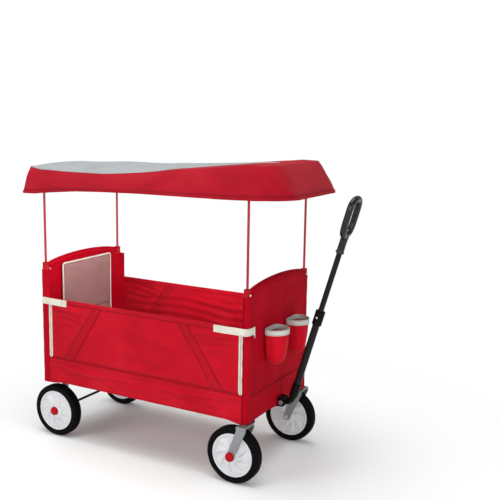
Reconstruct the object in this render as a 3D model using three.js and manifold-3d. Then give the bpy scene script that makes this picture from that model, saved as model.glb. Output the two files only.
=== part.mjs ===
// Folding pull wagon with a fabric tub, a canopy on four poles and a telescoping pull handle.
// Millimetres. +X forward (handle end), +Y to the wagon's left, +Z up, ground at z = 0.
import * as THREE from 'three';
import { mergeVertices } from 'three/addons/utils/BufferGeometryUtils.js';
import Module from 'manifold-3d';

// ---------------------------------------------------------------- shared dimensions
// Every x is measured from the tub's centre. Names ending in _R are radii.
const ORIGIN_X = 104.7;                 // the frame's origin is this far ahead of the tub's centre
const GAP = 0.3;                        // clearance between neighbouring solids

const POST_X = 431.7, POST_Y = 216.5;   // corner posts
const POST_R = 10.5, POST_TOP = 640;

const HEM_Z = 216;                      // lower edge of all fabric
const SKIN_Y0 = 229.8, SKIN_Y1 = 233;   // long side fabric, inner and outer face
const SKIN_X0 = 445, SKIN_X1 = 448.2;   // end fabric, inner and outer face

const HUB_Z = 100, HUB_HALF = 22;       // hub height above ground, and half its width
const REAR_HUB_X = -398.7, REAR_WHEEL_Y = 201.5;
const FRONT_HUB_X = 391.8, FRONT_WHEEL_Y = POST_Y;
const REAR_AXLE_R = 5, FRONT_AXLE_R = 4;

const PIVOT_X = 370, PIVOT_Z = 228;     // floor hinges at -PIVOT_X, 0 and PIVOT_X
const HINGE_ROD_R = 3, HINGE_BORE_R = 3.4;

const CASTER_STEM_R = 6;
const HOUSING_TOP = 219.4;              // top face of the caster housing's plate

const ENDS = [['rear', -1], ['front', 1]];
const SIDES = [-1, 1];                  // right, left
const DEG = Math.PI / 180;

// ---------------------------------------------------------------- solid operations
const wasm = await Module();
wasm.setup();

function toSolid(geometry) {
  const bare = geometry.clone();
  for (const key of Object.keys(bare.attributes)) {
    if (key !== 'position') bare.deleteAttribute(key);
  }
  const merged = mergeVertices(bare, 1e-4);
  const index = merged.index.array;
  const triangles = [];
  for (let i = 0; i < index.length; i += 3) {
    const [a, b, c] = index.slice(i, i + 3);
    if (a !== b && b !== c && a !== c) triangles.push(a, b, c);
  }
  return new wasm.Manifold(new wasm.Mesh({
    numProp: 3,
    vertProperties: new Float32Array(merged.attributes.position.array),
    triVerts: new Uint32Array(triangles),
  }));
}

function toGeometry(solid) {
  const mesh = solid.getMesh();
  const geometry = new THREE.BufferGeometry();
  const positions = new Float32Array(mesh.vertProperties);
  geometry.setAttribute('position', new THREE.BufferAttribute(positions, 3));
  geometry.setIndex(new THREE.BufferAttribute(new Uint32Array(mesh.triVerts), 1));
  geometry.computeVertexNormals();
  return geometry;
}

// combines the first geometry with each of the others in turn
function combine(operation, [first, ...others]) {
  return toGeometry(others.reduce((solid, g) => solid[operation](toSolid(g)), toSolid(first)));
}
const join = (...geometries) => combine('add', geometries);
const cut = (...geometries) => combine('subtract', geometries);
const common = (...geometries) => combine('intersect', geometries);

// ---------------------------------------------------------------- basic shapes
// Paired limits (from/to, x0/x1 and so on) may come in either order.

// round bar along an axis; u and v are its other two coordinates, in x, y, z order
function bar(axis, radius, from, to, u, v, segments = 12, topRadius = radius) {
  const g = new THREE.CylinderGeometry(topRadius, radius, Math.abs(to - from), segments, 1);
  const middle = (from + to) / 2;
  g.rotateY(Math.PI / segments);
  if (axis === 'x') g.rotateZ(-Math.PI / 2).translate(middle, u, v);
  if (axis === 'y') g.translate(u, middle, v);
  if (axis === 'z') g.rotateX(Math.PI / 2).translate(u, v, middle);
  return g;
}

function box(x0, x1, y0, y1, z0, z1) {
  const g = new THREE.BoxGeometry(Math.abs(x1 - x0), Math.abs(y1 - y0), Math.abs(z1 - z0));
  return g.translate((x0 + x1) / 2, (y0 + y1) / 2, (z0 + z1) / 2);
}

function circle(radius) {
  const shape = new THREE.Shape();
  shape.absarc(0, 0, radius, 0, 2 * Math.PI, false);
  return shape;
}

// open tube along z
function ring(outerRadius, innerRadius, z0, z1, x, y, curveSegments = 8) {
  const shape = circle(outerRadius);
  const hole = new THREE.Path();
  hole.absarc(0, 0, innerRadius, 0, 2 * Math.PI, true);
  shape.holes.push(hole);
  const options = { depth: z1 - z0, bevelEnabled: false, curveSegments };
  return new THREE.ExtrudeGeometry(shape, options).translate(x, y, z0);
}

// round rod through a list of points
function rod(points, radius, steps, curveSegments = 5) {
  const vectors = points.map(p => new THREE.Vector3(...p));
  const extrudePath = new THREE.CatmullRomCurve3(vectors, false, 'catmullrom', 0.5);
  const options = { steps, curveSegments, extrudePath, bevelEnabled: false };
  return new THREE.ExtrudeGeometry(circle(radius), options);
}

// outline of [x, y] points raised along z from 0
function extrude(points, depth) {
  const shape = new THREE.Shape(points.map(p => new THREE.Vector2(...p)));
  return new THREE.ExtrudeGeometry(shape, { depth, bevelEnabled: false });
}

// outline of [y, z] points swept along x
function slabX(points, x0, x1) {
  const place = new THREE.Matrix4().set(
    0, 0, 1, Math.min(x0, x1),
    1, 0, 0, 0,
    0, 1, 0, 0,
    0, 0, 0, 1);
  return extrude(points, Math.abs(x1 - x0)).applyMatrix4(place);
}

// outline of [x, z] points swept along y
function slabY(points, y0, y1) {
  const place = new THREE.Matrix4().set(
    1, 0, 0, 0,
    0, 0, -1, Math.max(y0, y1),
    0, 1, 0, 0,
    0, 0, 0, 1);
  return extrude(points, Math.abs(y1 - y0)).applyMatrix4(place);
}

// turned shape about y: profile of [radius, distance along the axis]
function turned(profile, segments, phase = 0) {
  const points = profile.map(p => new THREE.Vector2(...p));
  return new THREE.LatheGeometry(points, segments, phase, 2 * Math.PI);
}

// points on a circular arc, angles in degrees
function arc(centreU, centreV, radius, from, to, steps) {
  return Array.from({ length: steps + 1 }, (_, i) => {
    const angle = (from + (to - from) * i / steps) * DEG;
    return [centreU + radius * Math.cos(angle), centreV + radius * Math.sin(angle)];
  });
}

// right half of a [y, z] outline, ending on the centre line, completed by its mirror image
function mirrorOutline(half) {
  return [...half, ...half.slice(0, -1).reverse().map(([y, z]) => [-y, z])];
}

// ---------------------------------------------------------------- finishes and parts
const FINISHES = {
  steel_grey: { color: 0x878b8d, roughness: 0.42, metalness: 0.65 },
  steel_black: { color: 0x1b1b1d, roughness: 0.45, metalness: 0.4 },
  bright_steel: { color: 0xb9bcbf, roughness: 0.3, metalness: 0.9 },
  red_fabric: { color: 0xc81e32, roughness: 0.85 },
  grey_fabric: { color: 0xb2b8ba, roughness: 0.85 },
  taupe_fabric: { color: 0x9d7673, roughness: 0.9 },
  cream_webbing: { color: 0xd7d4c3, roughness: 0.8 },
  floor_fabric: { color: 0xa81a2c, roughness: 0.9 },
  red_plastic: { color: 0xb0142a, roughness: 0.4 },
  black_plastic: { color: 0x161617, roughness: 0.5 },
  white_plastic: { color: 0xebecee, roughness: 0.4 },
  tyre_black: { color: 0x19191a, roughness: 0.85 },
  black_grip: { color: 0x121213, roughness: 0.6 },
};

const root = new THREE.Group();
root.position.x = -ORIGIN_X;

function part(name, geometry, finish, parent = root) {
  const material = new THREE.MeshStandardMaterial({ metalness: 0, ...FINISHES[finish] });
  const mesh = new THREE.Mesh(geometry, material);
  mesh.name = name;
  parent.add(mesh);
}

// mirror image across y = 0 of an indexed geometry, with its triangles turned face out again
function mirrorY(geometry) {
  const mirrored = geometry.clone().scale(1, -1, 1);
  const index = mirrored.index.array;
  for (let i = 0; i < index.length; i += 3) {
    [index[i + 1], index[i + 2]] = [index[i + 2], index[i + 1]];
  }
  mirrored.computeVertexNormals();
  return mirrored;
}

// a right-hand piece (at -Y) and its left-hand twin
function pair(name, geometry, finish) {
  part(name + '_right', geometry, finish);
  part(name + '_left', mirrorY(geometry), finish);
}

// ---------------------------------------------------------------- welded end frames
const BOW_R = 8;
// right half of the bow between the post tops: y, z
const BOW_HALF = [[-POST_Y, 622], [-206, 642], [-180, 658], [-100, 670], [0, 676]];
const HINGE_LUG_Y0 = 199, HINGE_LUG_Y1 = 209, HINGE_LUG_R = 12;
const LEG_Y = 160, LEG_R = 12.5;        // rear legs down to the axle

function bow(outline, x, radius) {
  return rod(outline.map(([y, z]) => [x, y, z]), radius, 16);
}

function endFrame(sign, crossbar, extraPieces = [], extraHoles = []) {
  const x = sign * POST_X, pivotX = sign * PIVOT_X;
  const lugs = SIDES.flatMap(side => {
    const y0 = side * HINGE_LUG_Y0, y1 = side * HINGE_LUG_Y1;
    return [
      box(sign * (POST_X + 8), pivotX, y0, y1, PIVOT_Z - HINGE_LUG_R, PIVOT_Z + HINGE_LUG_R),
      bar('y', HINGE_LUG_R, y0, y1, pivotX, PIVOT_Z),
    ];
  });
  const frame = join(
    ...SIDES.map(side => bar('z', POST_R, HEM_Z + 6, POST_TOP, x, side * POST_Y)),
    crossbar,
    bow(mirrorOutline(BOW_HALF), x, BOW_R),
    ...lugs,
    ...extraPieces);
  return cut(frame, bar('y', HINGE_BORE_R, -215, 215, pivotX, PIVOT_Z), ...extraHoles);
}

function rearEndFrame() {
  const stubEnd = REAR_WHEEL_Y - HUB_HALF - GAP;
  const legs = SIDES.flatMap(side => [
    bar('z', LEG_R, HUB_Z - 14, PIVOT_Z - 3, REAR_HUB_X, side * LEG_Y),
    bar('y', 9, side * (LEG_Y + 5), side * stubEnd, REAR_HUB_X, HUB_Z),
  ]);
  const axleHole = bar('y', REAR_AXLE_R + GAP, -195, 195, REAR_HUB_X, HUB_Z);
  return endFrame(-1, bar('y', 10, -202, 202, REAR_HUB_X, PIVOT_Z), legs, [axleHole]);
}

// the posts are drilled for the caster stems and relieved around the housings
function frontEndFrame() {
  const reliefTop = HOUSING_TOP + GAP;
  return cut(
    endFrame(1, bar('y', 10, -POST_Y, POST_Y, POST_X, 232)),
    ...SIDES.map(side => bar('z', CASTER_STEM_R + 0.6, 210, 236, POST_X, side * POST_Y)),
    ...SIDES.map(side => box(POST_X - 31, POST_X + 14, side * 165, side * 235, 205, reliefTop)));
}

part('rear_end_frame', rearEndFrame(), 'steel_grey');
part('front_end_frame', frontEndFrame(), 'steel_grey');

// name, x, half length
for (const [name, x, half] of [['rear', -PIVOT_X, 212], ['front', PIVOT_X, 212], ['middle', 0, 200]]) {
  part(`${name}_hinge_rod`, bar('y', HINGE_ROD_R, -half, half, x, PIVOT_Z), 'bright_steel');
}

// ---------------------------------------------------------------- folding floor
const RAIL_R = 8, REAR_RAIL_Y = 190, FRONT_RAIL_Y = 170;
const PANEL_Z0 = PIVOT_Z + RAIL_R + GAP, PANEL_T = 11.3;
const PANEL_Y = 210, PANEL_END = 355;

function floorFrame(sign) {
  const railY = sign > 0 ? FRONT_RAIL_Y : REAR_RAIL_Y;
  const pivotX = sign * PIVOT_X;
  const crossbars = [62, 330].map(x => bar('y', RAIL_R - 1, -railY, railY, sign * x, PIVOT_Z));
  const rails = SIDES.flatMap(side => {
    const y = side * railY;
    return [
      bar('x', RAIL_R, 0, pivotX, y, PIVOT_Z),
      bar('y', RAIL_R, y - 6, y + 6, 0, PIVOT_Z),
      bar('y', RAIL_R, side * (railY - 6), side * 198, pivotX, PIVOT_Z),
    ];
  });
  const bores = [0, pivotX].map(x => bar('y', HINGE_BORE_R, -215, 215, x, PIVOT_Z));
  return cut(join(...crossbars, ...rails), ...bores);
}

function floorPanel(sign) {
  return box(sign, sign * PANEL_END, -PANEL_Y, PANEL_Y, PANEL_Z0, PANEL_Z0 + PANEL_T);
}

for (const [end, sign] of ENDS) part(`floor_${end}_frame`, floorFrame(sign), 'steel_grey');
for (const [end, sign] of ENDS) part(`floor_${end}_panel`, floorPanel(sign), 'floor_fabric');

// ---------------------------------------------------------------- end panels and seat backs
const ZIP_REAR_X = -400, ZIP_FRONT_X = 419, ZIP_W = 15;
const SIDE_X0 = ZIP_REAR_X - ZIP_W / 2, SIDE_X1 = ZIP_FRONT_X + ZIP_W / 2;   // long side fabric
const ARCH_HALF = 206, ARCH_END_Z = 672, ARCH_MID_Z = 692;
const END_SHOULDER_Z = 648;
const PAD_X0 = 406, PAD_X1 = 420, PAD_HALF = 146, PAD_Z0 = 252, PAD_Z1 = 664;

// [y, z] outline with a flat bottom and a parabolic top
function arch(half, bottomZ, endZ, midZ, steps) {
  const points = [[-half, bottomZ], [half, bottomZ]];
  for (let i = 0; i <= steps; i++) {
    const y = half - 2 * half * i / steps;
    points.push([y, endZ + (midZ - endZ) * (1 - (y / half) ** 2)]);
  }
  return points;
}

// arched panel that wraps the corners to meet the long sides
function endPanel(sign) {
  const x0 = sign * SKIN_X0, x1 = sign * SKIN_X1;
  const wrapX = sign > 0 ? SIDE_X1 + GAP : SIDE_X0 - GAP;
  return join(
    slabX(arch(ARCH_HALF, HEM_Z, ARCH_END_Z, ARCH_MID_Z, 12), x0, x1),
    box(x0, x1, -SKIN_Y1, SKIN_Y1, HEM_Z, END_SHOULDER_Z),
    ...SIDES.map(side =>
      box(wrapX, x1, side * SKIN_Y0, side * SKIN_Y1, HEM_Z, END_SHOULDER_Z)));
}

function seatBack(sign) {
  return slabX(arch(PAD_HALF, PAD_Z0, PAD_Z1 - 6, PAD_Z1, 6), sign * PAD_X0, sign * PAD_X1);
}

const bracketOpening = box(440, 460, -24.5, 24.5, 210, 256);
part('rear_panel', endPanel(-1), 'red_fabric');
part('front_panel', cut(endPanel(1), bracketOpening), 'red_fabric');
for (const [end, sign] of ENDS) part(`${end}_seat_back`, seatBack(sign), 'taupe_fabric');

// ---------------------------------------------------------------- long sides
const SIDE_TOP = 548, FLAP_HINGE_Z = 318;
const FLAP_X0 = ZIP_REAR_X + ZIP_W / 2 + GAP, FLAP_X1 = ZIP_FRONT_X - ZIP_W / 2 - GAP;
const ZIP_Y = -SKIN_Y1 - 1;             // outer face of the zippers

// right-hand fabric at the usual thickness
const rightSkin = (x0, x1, z0, z1) => box(x0, x1, -SKIN_Y1, -SKIN_Y0, z0, z1);

function zipper(x) {
  return box(x - ZIP_W / 2, x + ZIP_W / 2, ZIP_Y, -SKIN_Y0, FLAP_HINGE_Z, SIDE_TOP - 4);
}

part('side_wall_left', box(SIDE_X0, SIDE_X1, SKIN_Y0, SKIN_Y1, HEM_Z, SIDE_TOP), 'red_fabric');
part('side_skirt_right', rightSkin(SIDE_X0, SIDE_X1, HEM_Z, FLAP_HINGE_Z - 1), 'red_fabric');
part('side_flap_right', rightSkin(FLAP_X0, FLAP_X1, FLAP_HINGE_Z, SIDE_TOP), 'red_fabric');
part('zipper_rear', zipper(ZIP_REAR_X), 'cream_webbing');
part('zipper_front', zipper(ZIP_FRONT_X), 'cream_webbing');

// webbing tabs that wrap the right corners and hold the top of the flap
const STRAP_Y0 = ZIP_Y - GAP, STRAP_Y1 = STRAP_Y0 - 1.7;   // inner and outer face
const STRAP_Z0 = 522, STRAP_Z1 = 547;

function strap(sign) {
  const outerX = sign * (SKIN_X1 + 2);
  return join(
    box(sign * 317, outerX, STRAP_Y1, STRAP_Y0, STRAP_Z0, STRAP_Z1),
    box(sign * (SKIN_X1 + GAP), outerX, STRAP_Y1, -188, STRAP_Z0, STRAP_Z1));
}
part('strap_front', strap(1), 'cream_webbing');
part('strap_rear', strap(-1), 'cream_webbing');

// ---------------------------------------------------------------- cup holders
// the pockets are round in front and flat against the front panel
const CUP_X = 470.5, CUP_Y = 80, CUP_Z = 400, CUP_H = 104.2;
const CUP_WALL = 3;
const CUP_RIM_R = 47.5, CUP_TOP_R = CUP_RIM_R - CUP_WALL;
const CUP_BACK = SKIN_X1 + GAP;

const aheadOf = x => box(x, x + 100, -150, 0, 390, 540);

function cupCone(profile) {
  return turned(profile, 20).rotateX(Math.PI / 2).translate(CUP_X, -CUP_Y, CUP_Z);
}

function cupBody() {
  const outer = cupCone([[0, 0], [30, 0], [CUP_TOP_R, CUP_H], [0, CUP_H]]);
  const inner = cupCone([[0, CUP_WALL], [27.4, CUP_WALL], [42, 108], [0, 108]]);
  return cut(common(outer, aheadOf(CUP_BACK)), common(inner, aheadOf(CUP_BACK + CUP_WALL)));
}

function cupRim() {
  const band = ring(CUP_RIM_R, CUP_TOP_R, CUP_Z + CUP_H + GAP, 524, CUP_X, -CUP_Y, 10);
  return common(band, aheadOf(CUP_BACK));
}
pair('cup_holder', cupBody(), 'red_fabric');
pair('cup_rim', cupRim(), 'grey_fabric');

// ---------------------------------------------------------------- pole sockets and poles
const SOCKET_TOP = 676;
const POLE_R = 4.3, POLE_Z0 = 647, REAR_POLE_TOP = 985, FRONT_POLE_TOP = 1008;

// collared socket on a post, relieved around the bow that passes beside it
function poleSocket(x) {
  const body = join(
    bar('z', 12, POST_TOP + GAP, SOCKET_TOP, x, -POST_Y, 16, 11),
    bar('z', 13, 644, 650, x, -POST_Y, 16));
  const bored = cut(body, bar('z', 5, 646, SOCKET_TOP + 5, x, -POST_Y));
  return cut(bored, bow(BOW_HALF, x, BOW_R + 0.5));
}

function pole(x, top) {
  return bar('z', POLE_R, POLE_Z0, top, x, -POST_Y, 10);
}
for (const [end, sign] of ENDS) {
  pair(`pole_socket_${end}`, poleSocket(sign * POST_X), 'red_plastic');
}
pair('canopy_pole_rear', pole(-POST_X, REAR_POLE_TOP), 'red_plastic');
pair('canopy_pole_front', pole(POST_X, FRONT_POLE_TOP), 'red_plastic');

// ---------------------------------------------------------------- canopy
// built around z = 0, then tilted and lifted
const CANOPY_X0 = -514, CANOPY_X1 = 575, CANOPY_Y = 246;   // rear, front and side hem
const CANOPY_TOP_X0 = -516.5, CANOPY_TOP_X1 = 505;         // ends of the top edge
const CANOPY_REAR_R = 30, CANOPY_FRONT_R = 125;            // corner radii in plan
const CANOPY_T = 3, CANOPY_Z = 1018, CANOPY_TILT = 2.1;    // tilt in degrees, front end up
const CANOPY_HEM_Z = -58;
// half cross-section from the hem to the centre line: y, z
const CANOPY_SECTION = [
  [CANOPY_Y, CANOPY_HEM_Z], [CANOPY_Y - 6, -30], [CANOPY_Y - 28, 8],
  [190, 26], [130, 40], [65, 48], [0, 51],
];

function canopySection(inset) {
  return mirrorOutline(CANOPY_SECTION.map(([y, z]) => [
    y - inset * (z < 0 ? 1 : 0.75 * y / CANOPY_Y),
    // the inner shape runs out below the hem to leave the canopy open
    inset && z === CANOPY_HEM_Z ? -70 : z - inset,
  ]));
}

// plan outline: broad round corners at the front, small ones at the rear
function canopyPlan(inset) {
  const y = CANOPY_Y + 2 - inset;
  const rearR = CANOPY_REAR_R - inset, frontR = CANOPY_FRONT_R - inset;
  const rearX = CANOPY_TOP_X0 + inset + rearR, frontX = CANOPY_X1 - inset - frontR;
  const outline = [
    ...arc(frontX, y - frontR, frontR, 0, 90, 8),
    ...arc(rearX, y - rearR, rearR, 90, 180, 3),
    ...arc(rearX, rearR - y, rearR, 180, 270, 3),
    ...arc(frontX, frontR - y, frontR, 270, 360, 8),
  ];
  return extrude(outline, 180).translate(0, 0, -90);
}

// side outline: both ends slope from the hem to the top
function canopySide(inset) {
  return slabY([
    [CANOPY_X0 + inset, -75], [CANOPY_X1 - inset, CANOPY_HEM_Z],
    [CANOPY_TOP_X1 - inset, 60], [CANOPY_TOP_X0 + inset, 60],
  ], -260, 260);
}

function canopyBody(inset) {
  const section = slabX(canopySection(inset), CANOPY_TOP_X0 - 5, CANOPY_X1 + 5);
  return common(section, canopyPlan(inset), canopySide(inset));
}

const canopy = cut(canopyBody(0), canopyBody(CANOPY_T));
canopy.rotateY(-CANOPY_TILT * DEG).translate(0, 0, CANOPY_Z);
part('canopy', canopy, 'red_fabric');

// ---------------------------------------------------------------- wheels
const WHEEL_R = 100, TYRE_HALF = 19.7, TYRE_SEGMENTS = 36;
const RIM_R = 77, RIM_BORE_R = REAR_AXLE_R + 0.4;

// the tread corners are pushed out so that the flats lie at WHEEL_R
function tyre(x, y) {
  const halfStep = Math.PI / TYRE_SEGMENTS;
  const treadR = WHEEL_R / Math.cos(halfStep);
  const seatR = RIM_R + GAP;
  return turned([
    [seatR, -TYRE_HALF + 2], [90, -TYRE_HALF], [treadR, -TYRE_HALF + 7],
    [treadR, TYRE_HALF - 7], [90, TYRE_HALF], [seatR, TYRE_HALF - 2],
    [seatR, -TYRE_HALF + 2],
  ], TYRE_SEGMENTS, halfStep).translate(x, y, HUB_Z);
}

function rim(x, y) {
  return turned([
    [RIM_BORE_R, -HUB_HALF], [15, -HUB_HALF], [18, -14], [RIM_R - 0.4, -14],
    [RIM_R - 0.4, 14], [18, 14], [15, HUB_HALF], [RIM_BORE_R, HUB_HALF],
    [RIM_BORE_R, -HUB_HALF],
  ], 24).translate(x, y, HUB_Z);
}

// domed cap pressed on a right-hand axle end, open side towards the wheel
function hubCap(x, y, depth, boreRadius) {
  return turned([
    [16.5, 0], [16.5, 3.5], [13.5, 8.5], [8, 11.5], [0, 12.5],
    [0, depth], [boreRadius, depth], [boreRadius, 0], [16.5, 0],
  ], 12).rotateX(Math.PI).translate(x, y, HUB_Z);
}

const WHEELS = [
  ['front_right', FRONT_HUB_X, -FRONT_WHEEL_Y], ['front_left', FRONT_HUB_X, FRONT_WHEEL_Y],
  ['rear_right', REAR_HUB_X, -REAR_WHEEL_Y], ['rear_left', REAR_HUB_X, REAR_WHEEL_Y],
];
for (const [name, x, y] of WHEELS) {
  part(`tyre_${name}`, tyre(x, y), 'tyre_black');
  part(`rim_${name}`, rim(x, y), 'white_plastic');
}
part('rear_axle', bar('y', REAR_AXLE_R, -228, 228, REAR_HUB_X, HUB_Z), 'steel_black');
const rearCapY = -REAR_WHEEL_Y - HUB_HALF - GAP;
pair('hub_cap_rear', hubCap(REAR_HUB_X, rearCapY, 5.5, REAR_AXLE_R + 0.4), 'red_plastic');

// ---------------------------------------------------------------- front casters
const FORK_HALF = 31.5, FORK_T = 4;     // outer half width of the fork, and its strap thickness
const FORK_TOP_Z = 212, CROWN_HALF = 18;
const FORK_Y0 = -FRONT_WHEEL_Y - FORK_HALF, FORK_Y1 = -FRONT_WHEEL_Y + FORK_HALF;
const HOUSING_Z0 = 214.6, HOUSING_FRONT_X = POST_X + 12.2;

function casterFork() {
  const crownX0 = POST_X - CROWN_HALF, crownX1 = POST_X + CROWN_HALF;
  // x, z: wide at the crown, narrowing to a rounded end at the hub
  const arm = [
    [crownX0, FORK_TOP_Z], [crownX0, 196], [FRONT_HUB_X - 14, HUB_Z],
    ...arc(FRONT_HUB_X, HUB_Z, 14, 200, 340, 4),
    [FRONT_HUB_X + 14, HUB_Z + 2], [crownX1, 196], [crownX1, FORK_TOP_Z],
  ];
  const body = join(
    slabY(arm, FORK_Y0, FORK_Y0 + FORK_T),
    slabY(arm, FORK_Y1 - FORK_T, FORK_Y1),
    box(crownX0, crownX1, FORK_Y0 + 1, FORK_Y1 - 1, FORK_TOP_Z - 4.5, FORK_TOP_Z),
    bar('z', CASTER_STEM_R, FORK_TOP_Z - 3, FORK_TOP_Z + 22, POST_X, -FRONT_WHEEL_Y),
    bar('z', 13, FORK_TOP_Z - 2, FORK_TOP_Z + 2, POST_X, -FRONT_WHEEL_Y, 16));
  return cut(body, bar('y', FRONT_AXLE_R + GAP, FORK_Y0 - 5, FORK_Y1 + 5, FRONT_HUB_X, HUB_Z));
}

// the fork's stem turns in this corner housing
function casterHousing() {
  const lip = [
    [POST_X - 12, HOUSING_TOP], [HOUSING_FRONT_X, HOUSING_TOP], [HOUSING_FRONT_X, 207],
    [POST_X + 6, 203], [POST_X - 6, 206],
  ];
  const body = join(
    box(POST_X - 30, HOUSING_FRONT_X, -229, -170, HOUSING_Z0, HOUSING_TOP),
    bar('z', 11, HOUSING_Z0, HOUSING_TOP, POST_X, -POST_Y, 16),
    slabY(lip, -177.5, -170));
  return cut(body, bar('z', CASTER_STEM_R + 0.4, 205, 240, POST_X, -POST_Y, 16));
}

// pin with a head on its inner end
function frontAxle() {
  return join(
    bar('y', FRONT_AXLE_R, FORK_Y0 - 5, FORK_Y1 + 6, FRONT_HUB_X, HUB_Z),
    bar('y', 7.5, FORK_Y1 + GAP, FORK_Y1 + 6, FRONT_HUB_X, HUB_Z));
}

const frontCap = hubCap(FRONT_HUB_X, FORK_Y0 - GAP, 6, FRONT_AXLE_R + 0.4);
pair('caster_fork', casterFork(), 'steel_grey');
pair('caster_housing', casterHousing(), 'black_plastic');
pair('front_axle', frontAxle(), 'bright_steel');
pair('hub_cap_front', frontCap, 'red_plastic');

// ---------------------------------------------------------------- handle bracket
const HANDLE_X = 466.3, HANDLE_Z = 236; // handle pivot
const BOLT_R = 4, BOLT_BORE_R = BOLT_R + GAP;
const BRACKET_BACK_X = 442.4;

function handleBracket() {
  // x, z: square at the back, rounded about the pivot
  const cheek = [
    [BRACKET_BACK_X, 219], [BRACKET_BACK_X, 253], [452, 253],
    ...arc(HANDLE_X, HANDLE_Z, 16.5, 75, -105, 6),
    [452, 219],
  ];
  const body = join(
    ...SIDES.map(side => slabY(cheek, side * 15.3, side * 19.3)),
    box(BRACKET_BACK_X, BRACKET_BACK_X + 7, -23.5, 23.5, 218, 254));
  return cut(body, bar('y', BOLT_BORE_R, -30, 30, HANDLE_X, HANDLE_Z));
}

function pivotBolt() {
  return join(
    bar('y', BOLT_R, -25, 25, HANDLE_X, HANDLE_Z),
    ...SIDES.map(side => bar('y', 8.5, side * 19.6, side * 25, HANDLE_X, HANDLE_Z, 16)));
}
part('handle_bracket', handleBracket(), 'black_plastic');
part('handle_pivot_bolt', pivotBolt(), 'bright_steel');

// ---------------------------------------------------------------- pull handle
// built upright about its pivot, then leaned forward
const HANDLE_LEAN = 16.46;              // degrees
const TUBE_X = 30;                      // the tube's axis stands this far ahead of the pivot
const LOWER_TUBE_R = 12.5, UPPER_TUBE_R = 9.5;
const BUTTON_Z = 347;
// one half of the grip's loop: x, distance to the side, z
const GRIP_LOOP = [
  [TUBE_X, -3, 621], [TUBE_X, 12, 630], [TUBE_X, 30, 654], [TUBE_X, 35.5, 690],
  [TUBE_X, 35.5, 742], [TUBE_X, 26, 768], [TUBE_X, -4, 776.5],
];

const handle = new THREE.Group();
handle.position.set(HANDLE_X, 0, HANDLE_Z);
handle.rotation.y = HANDLE_LEAN * DEG;
root.add(handle);

// bar on the tube's axis
const tubeBar = (radius, z0, z1, segments) => bar('z', radius, z0, z1, TUBE_X, 0, segments);

function yoke() {
  const neck = [[2, 0, 2], [16, 0, 5], [26, 0, 18], [TUBE_X, 0, 34], [TUBE_X, 0, 44]];
  const body = join(
    bar('y', 15.5, -15, 15, 0, 0, 20),
    rod(neck, 11.5, 8, 6),
    tubeBar(15.5, 36, 84, 16));
  return cut(body, bar('y', BOLT_BORE_R, -20, 20, 0, 0), tubeBar(LOWER_TUBE_R + GAP, 46, 90, 24));
}

function collar() {
  return cut(
    tubeBar(17, 318, 368, 20),
    tubeBar(LOWER_TUBE_R + 0.4, 310, 333.4, 24),
    tubeBar(UPPER_TUBE_R + 0.8, 320, 380, 24),
    bar('y', 4.3, -30, 0, TUBE_X, BUTTON_Z));
}

function grip() {
  const loopHalf = side => rod(GRIP_LOOP.map(([x, y, z]) => [x, y * side, z]), 11.3, 16);
  const body = join(tubeBar(13, 584, 630, 16), loopHalf(1), loopHalf(-1));
  return cut(body, tubeBar(UPPER_TUBE_R + GAP, 580, 606.4, 20));
}

const lowerTube = ring(LOWER_TUBE_R, 10.5, 46.4, 333, TUBE_X, 0);
const upperTube = ring(UPPER_TUBE_R, 7.8, 270, 606, TUBE_X, 0);
part('handle_yoke', yoke(), 'black_plastic', handle);
part('handle_lower_tube', lowerTube, 'steel_black', handle);
part('handle_collar', collar(), 'black_plastic', handle);
part('handle_button', bar('y', 4, -20, -14.4, TUBE_X, BUTTON_Z), 'bright_steel', handle);
part('handle_upper_tube', upperTube, 'steel_black', handle);
part('handle_grip', grip(), 'black_grip', handle);

export default root;
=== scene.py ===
"""Folding pull wagon: detailed meshes, materials and studio over its CAD frame.

In the frame +X is the front (handle) end, +Y the left side and Z = 0 the ground.
Shapes are written in millimetres from the tub's centre; metres() moves them into the frame.
Throughout, side is +1 on the left and -1 on the right; end is +1 at the front, -1 at the rear.
"""
import math

import bmesh
import bpy
import numpy as np
from mathutils import Matrix, Vector


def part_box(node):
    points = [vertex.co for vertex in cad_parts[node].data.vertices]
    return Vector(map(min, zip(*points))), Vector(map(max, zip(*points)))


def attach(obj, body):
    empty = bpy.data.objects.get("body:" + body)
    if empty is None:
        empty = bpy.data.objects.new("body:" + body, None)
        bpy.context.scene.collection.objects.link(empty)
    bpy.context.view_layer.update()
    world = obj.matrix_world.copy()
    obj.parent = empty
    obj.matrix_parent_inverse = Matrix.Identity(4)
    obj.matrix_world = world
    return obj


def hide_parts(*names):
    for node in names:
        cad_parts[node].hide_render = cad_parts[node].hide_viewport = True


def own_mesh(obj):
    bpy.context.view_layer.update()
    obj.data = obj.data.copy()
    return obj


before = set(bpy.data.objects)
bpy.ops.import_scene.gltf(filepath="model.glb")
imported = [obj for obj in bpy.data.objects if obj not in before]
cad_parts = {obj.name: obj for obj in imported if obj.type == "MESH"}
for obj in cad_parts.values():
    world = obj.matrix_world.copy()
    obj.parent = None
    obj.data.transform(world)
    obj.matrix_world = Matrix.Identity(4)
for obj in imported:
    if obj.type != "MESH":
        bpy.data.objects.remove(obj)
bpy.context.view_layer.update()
PI = math.pi
CENTRE_X = (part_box("rear_panel")[0].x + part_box("front_panel")[1].x) / 2   # tub's centre, metres
SIDES = (("right", -1), ("left", 1))

POST_X, POST_Y = 431.7, 216.5      # corner posts
COVER_X = 444.8                    # outer face of the end covers
COVER_INNER_X = 421.9              # their inner face
COVER_HALF = 203.0                 # half the width of the flat panel between the sleeves
SLEEVE_TOP = 648                   # where the sleeves stop and the arched panel goes on
CLOTH_Y = 233.0                    # outer face of the long sides
JOINT_Z = 318                      # where flap and skirt meet


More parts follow.
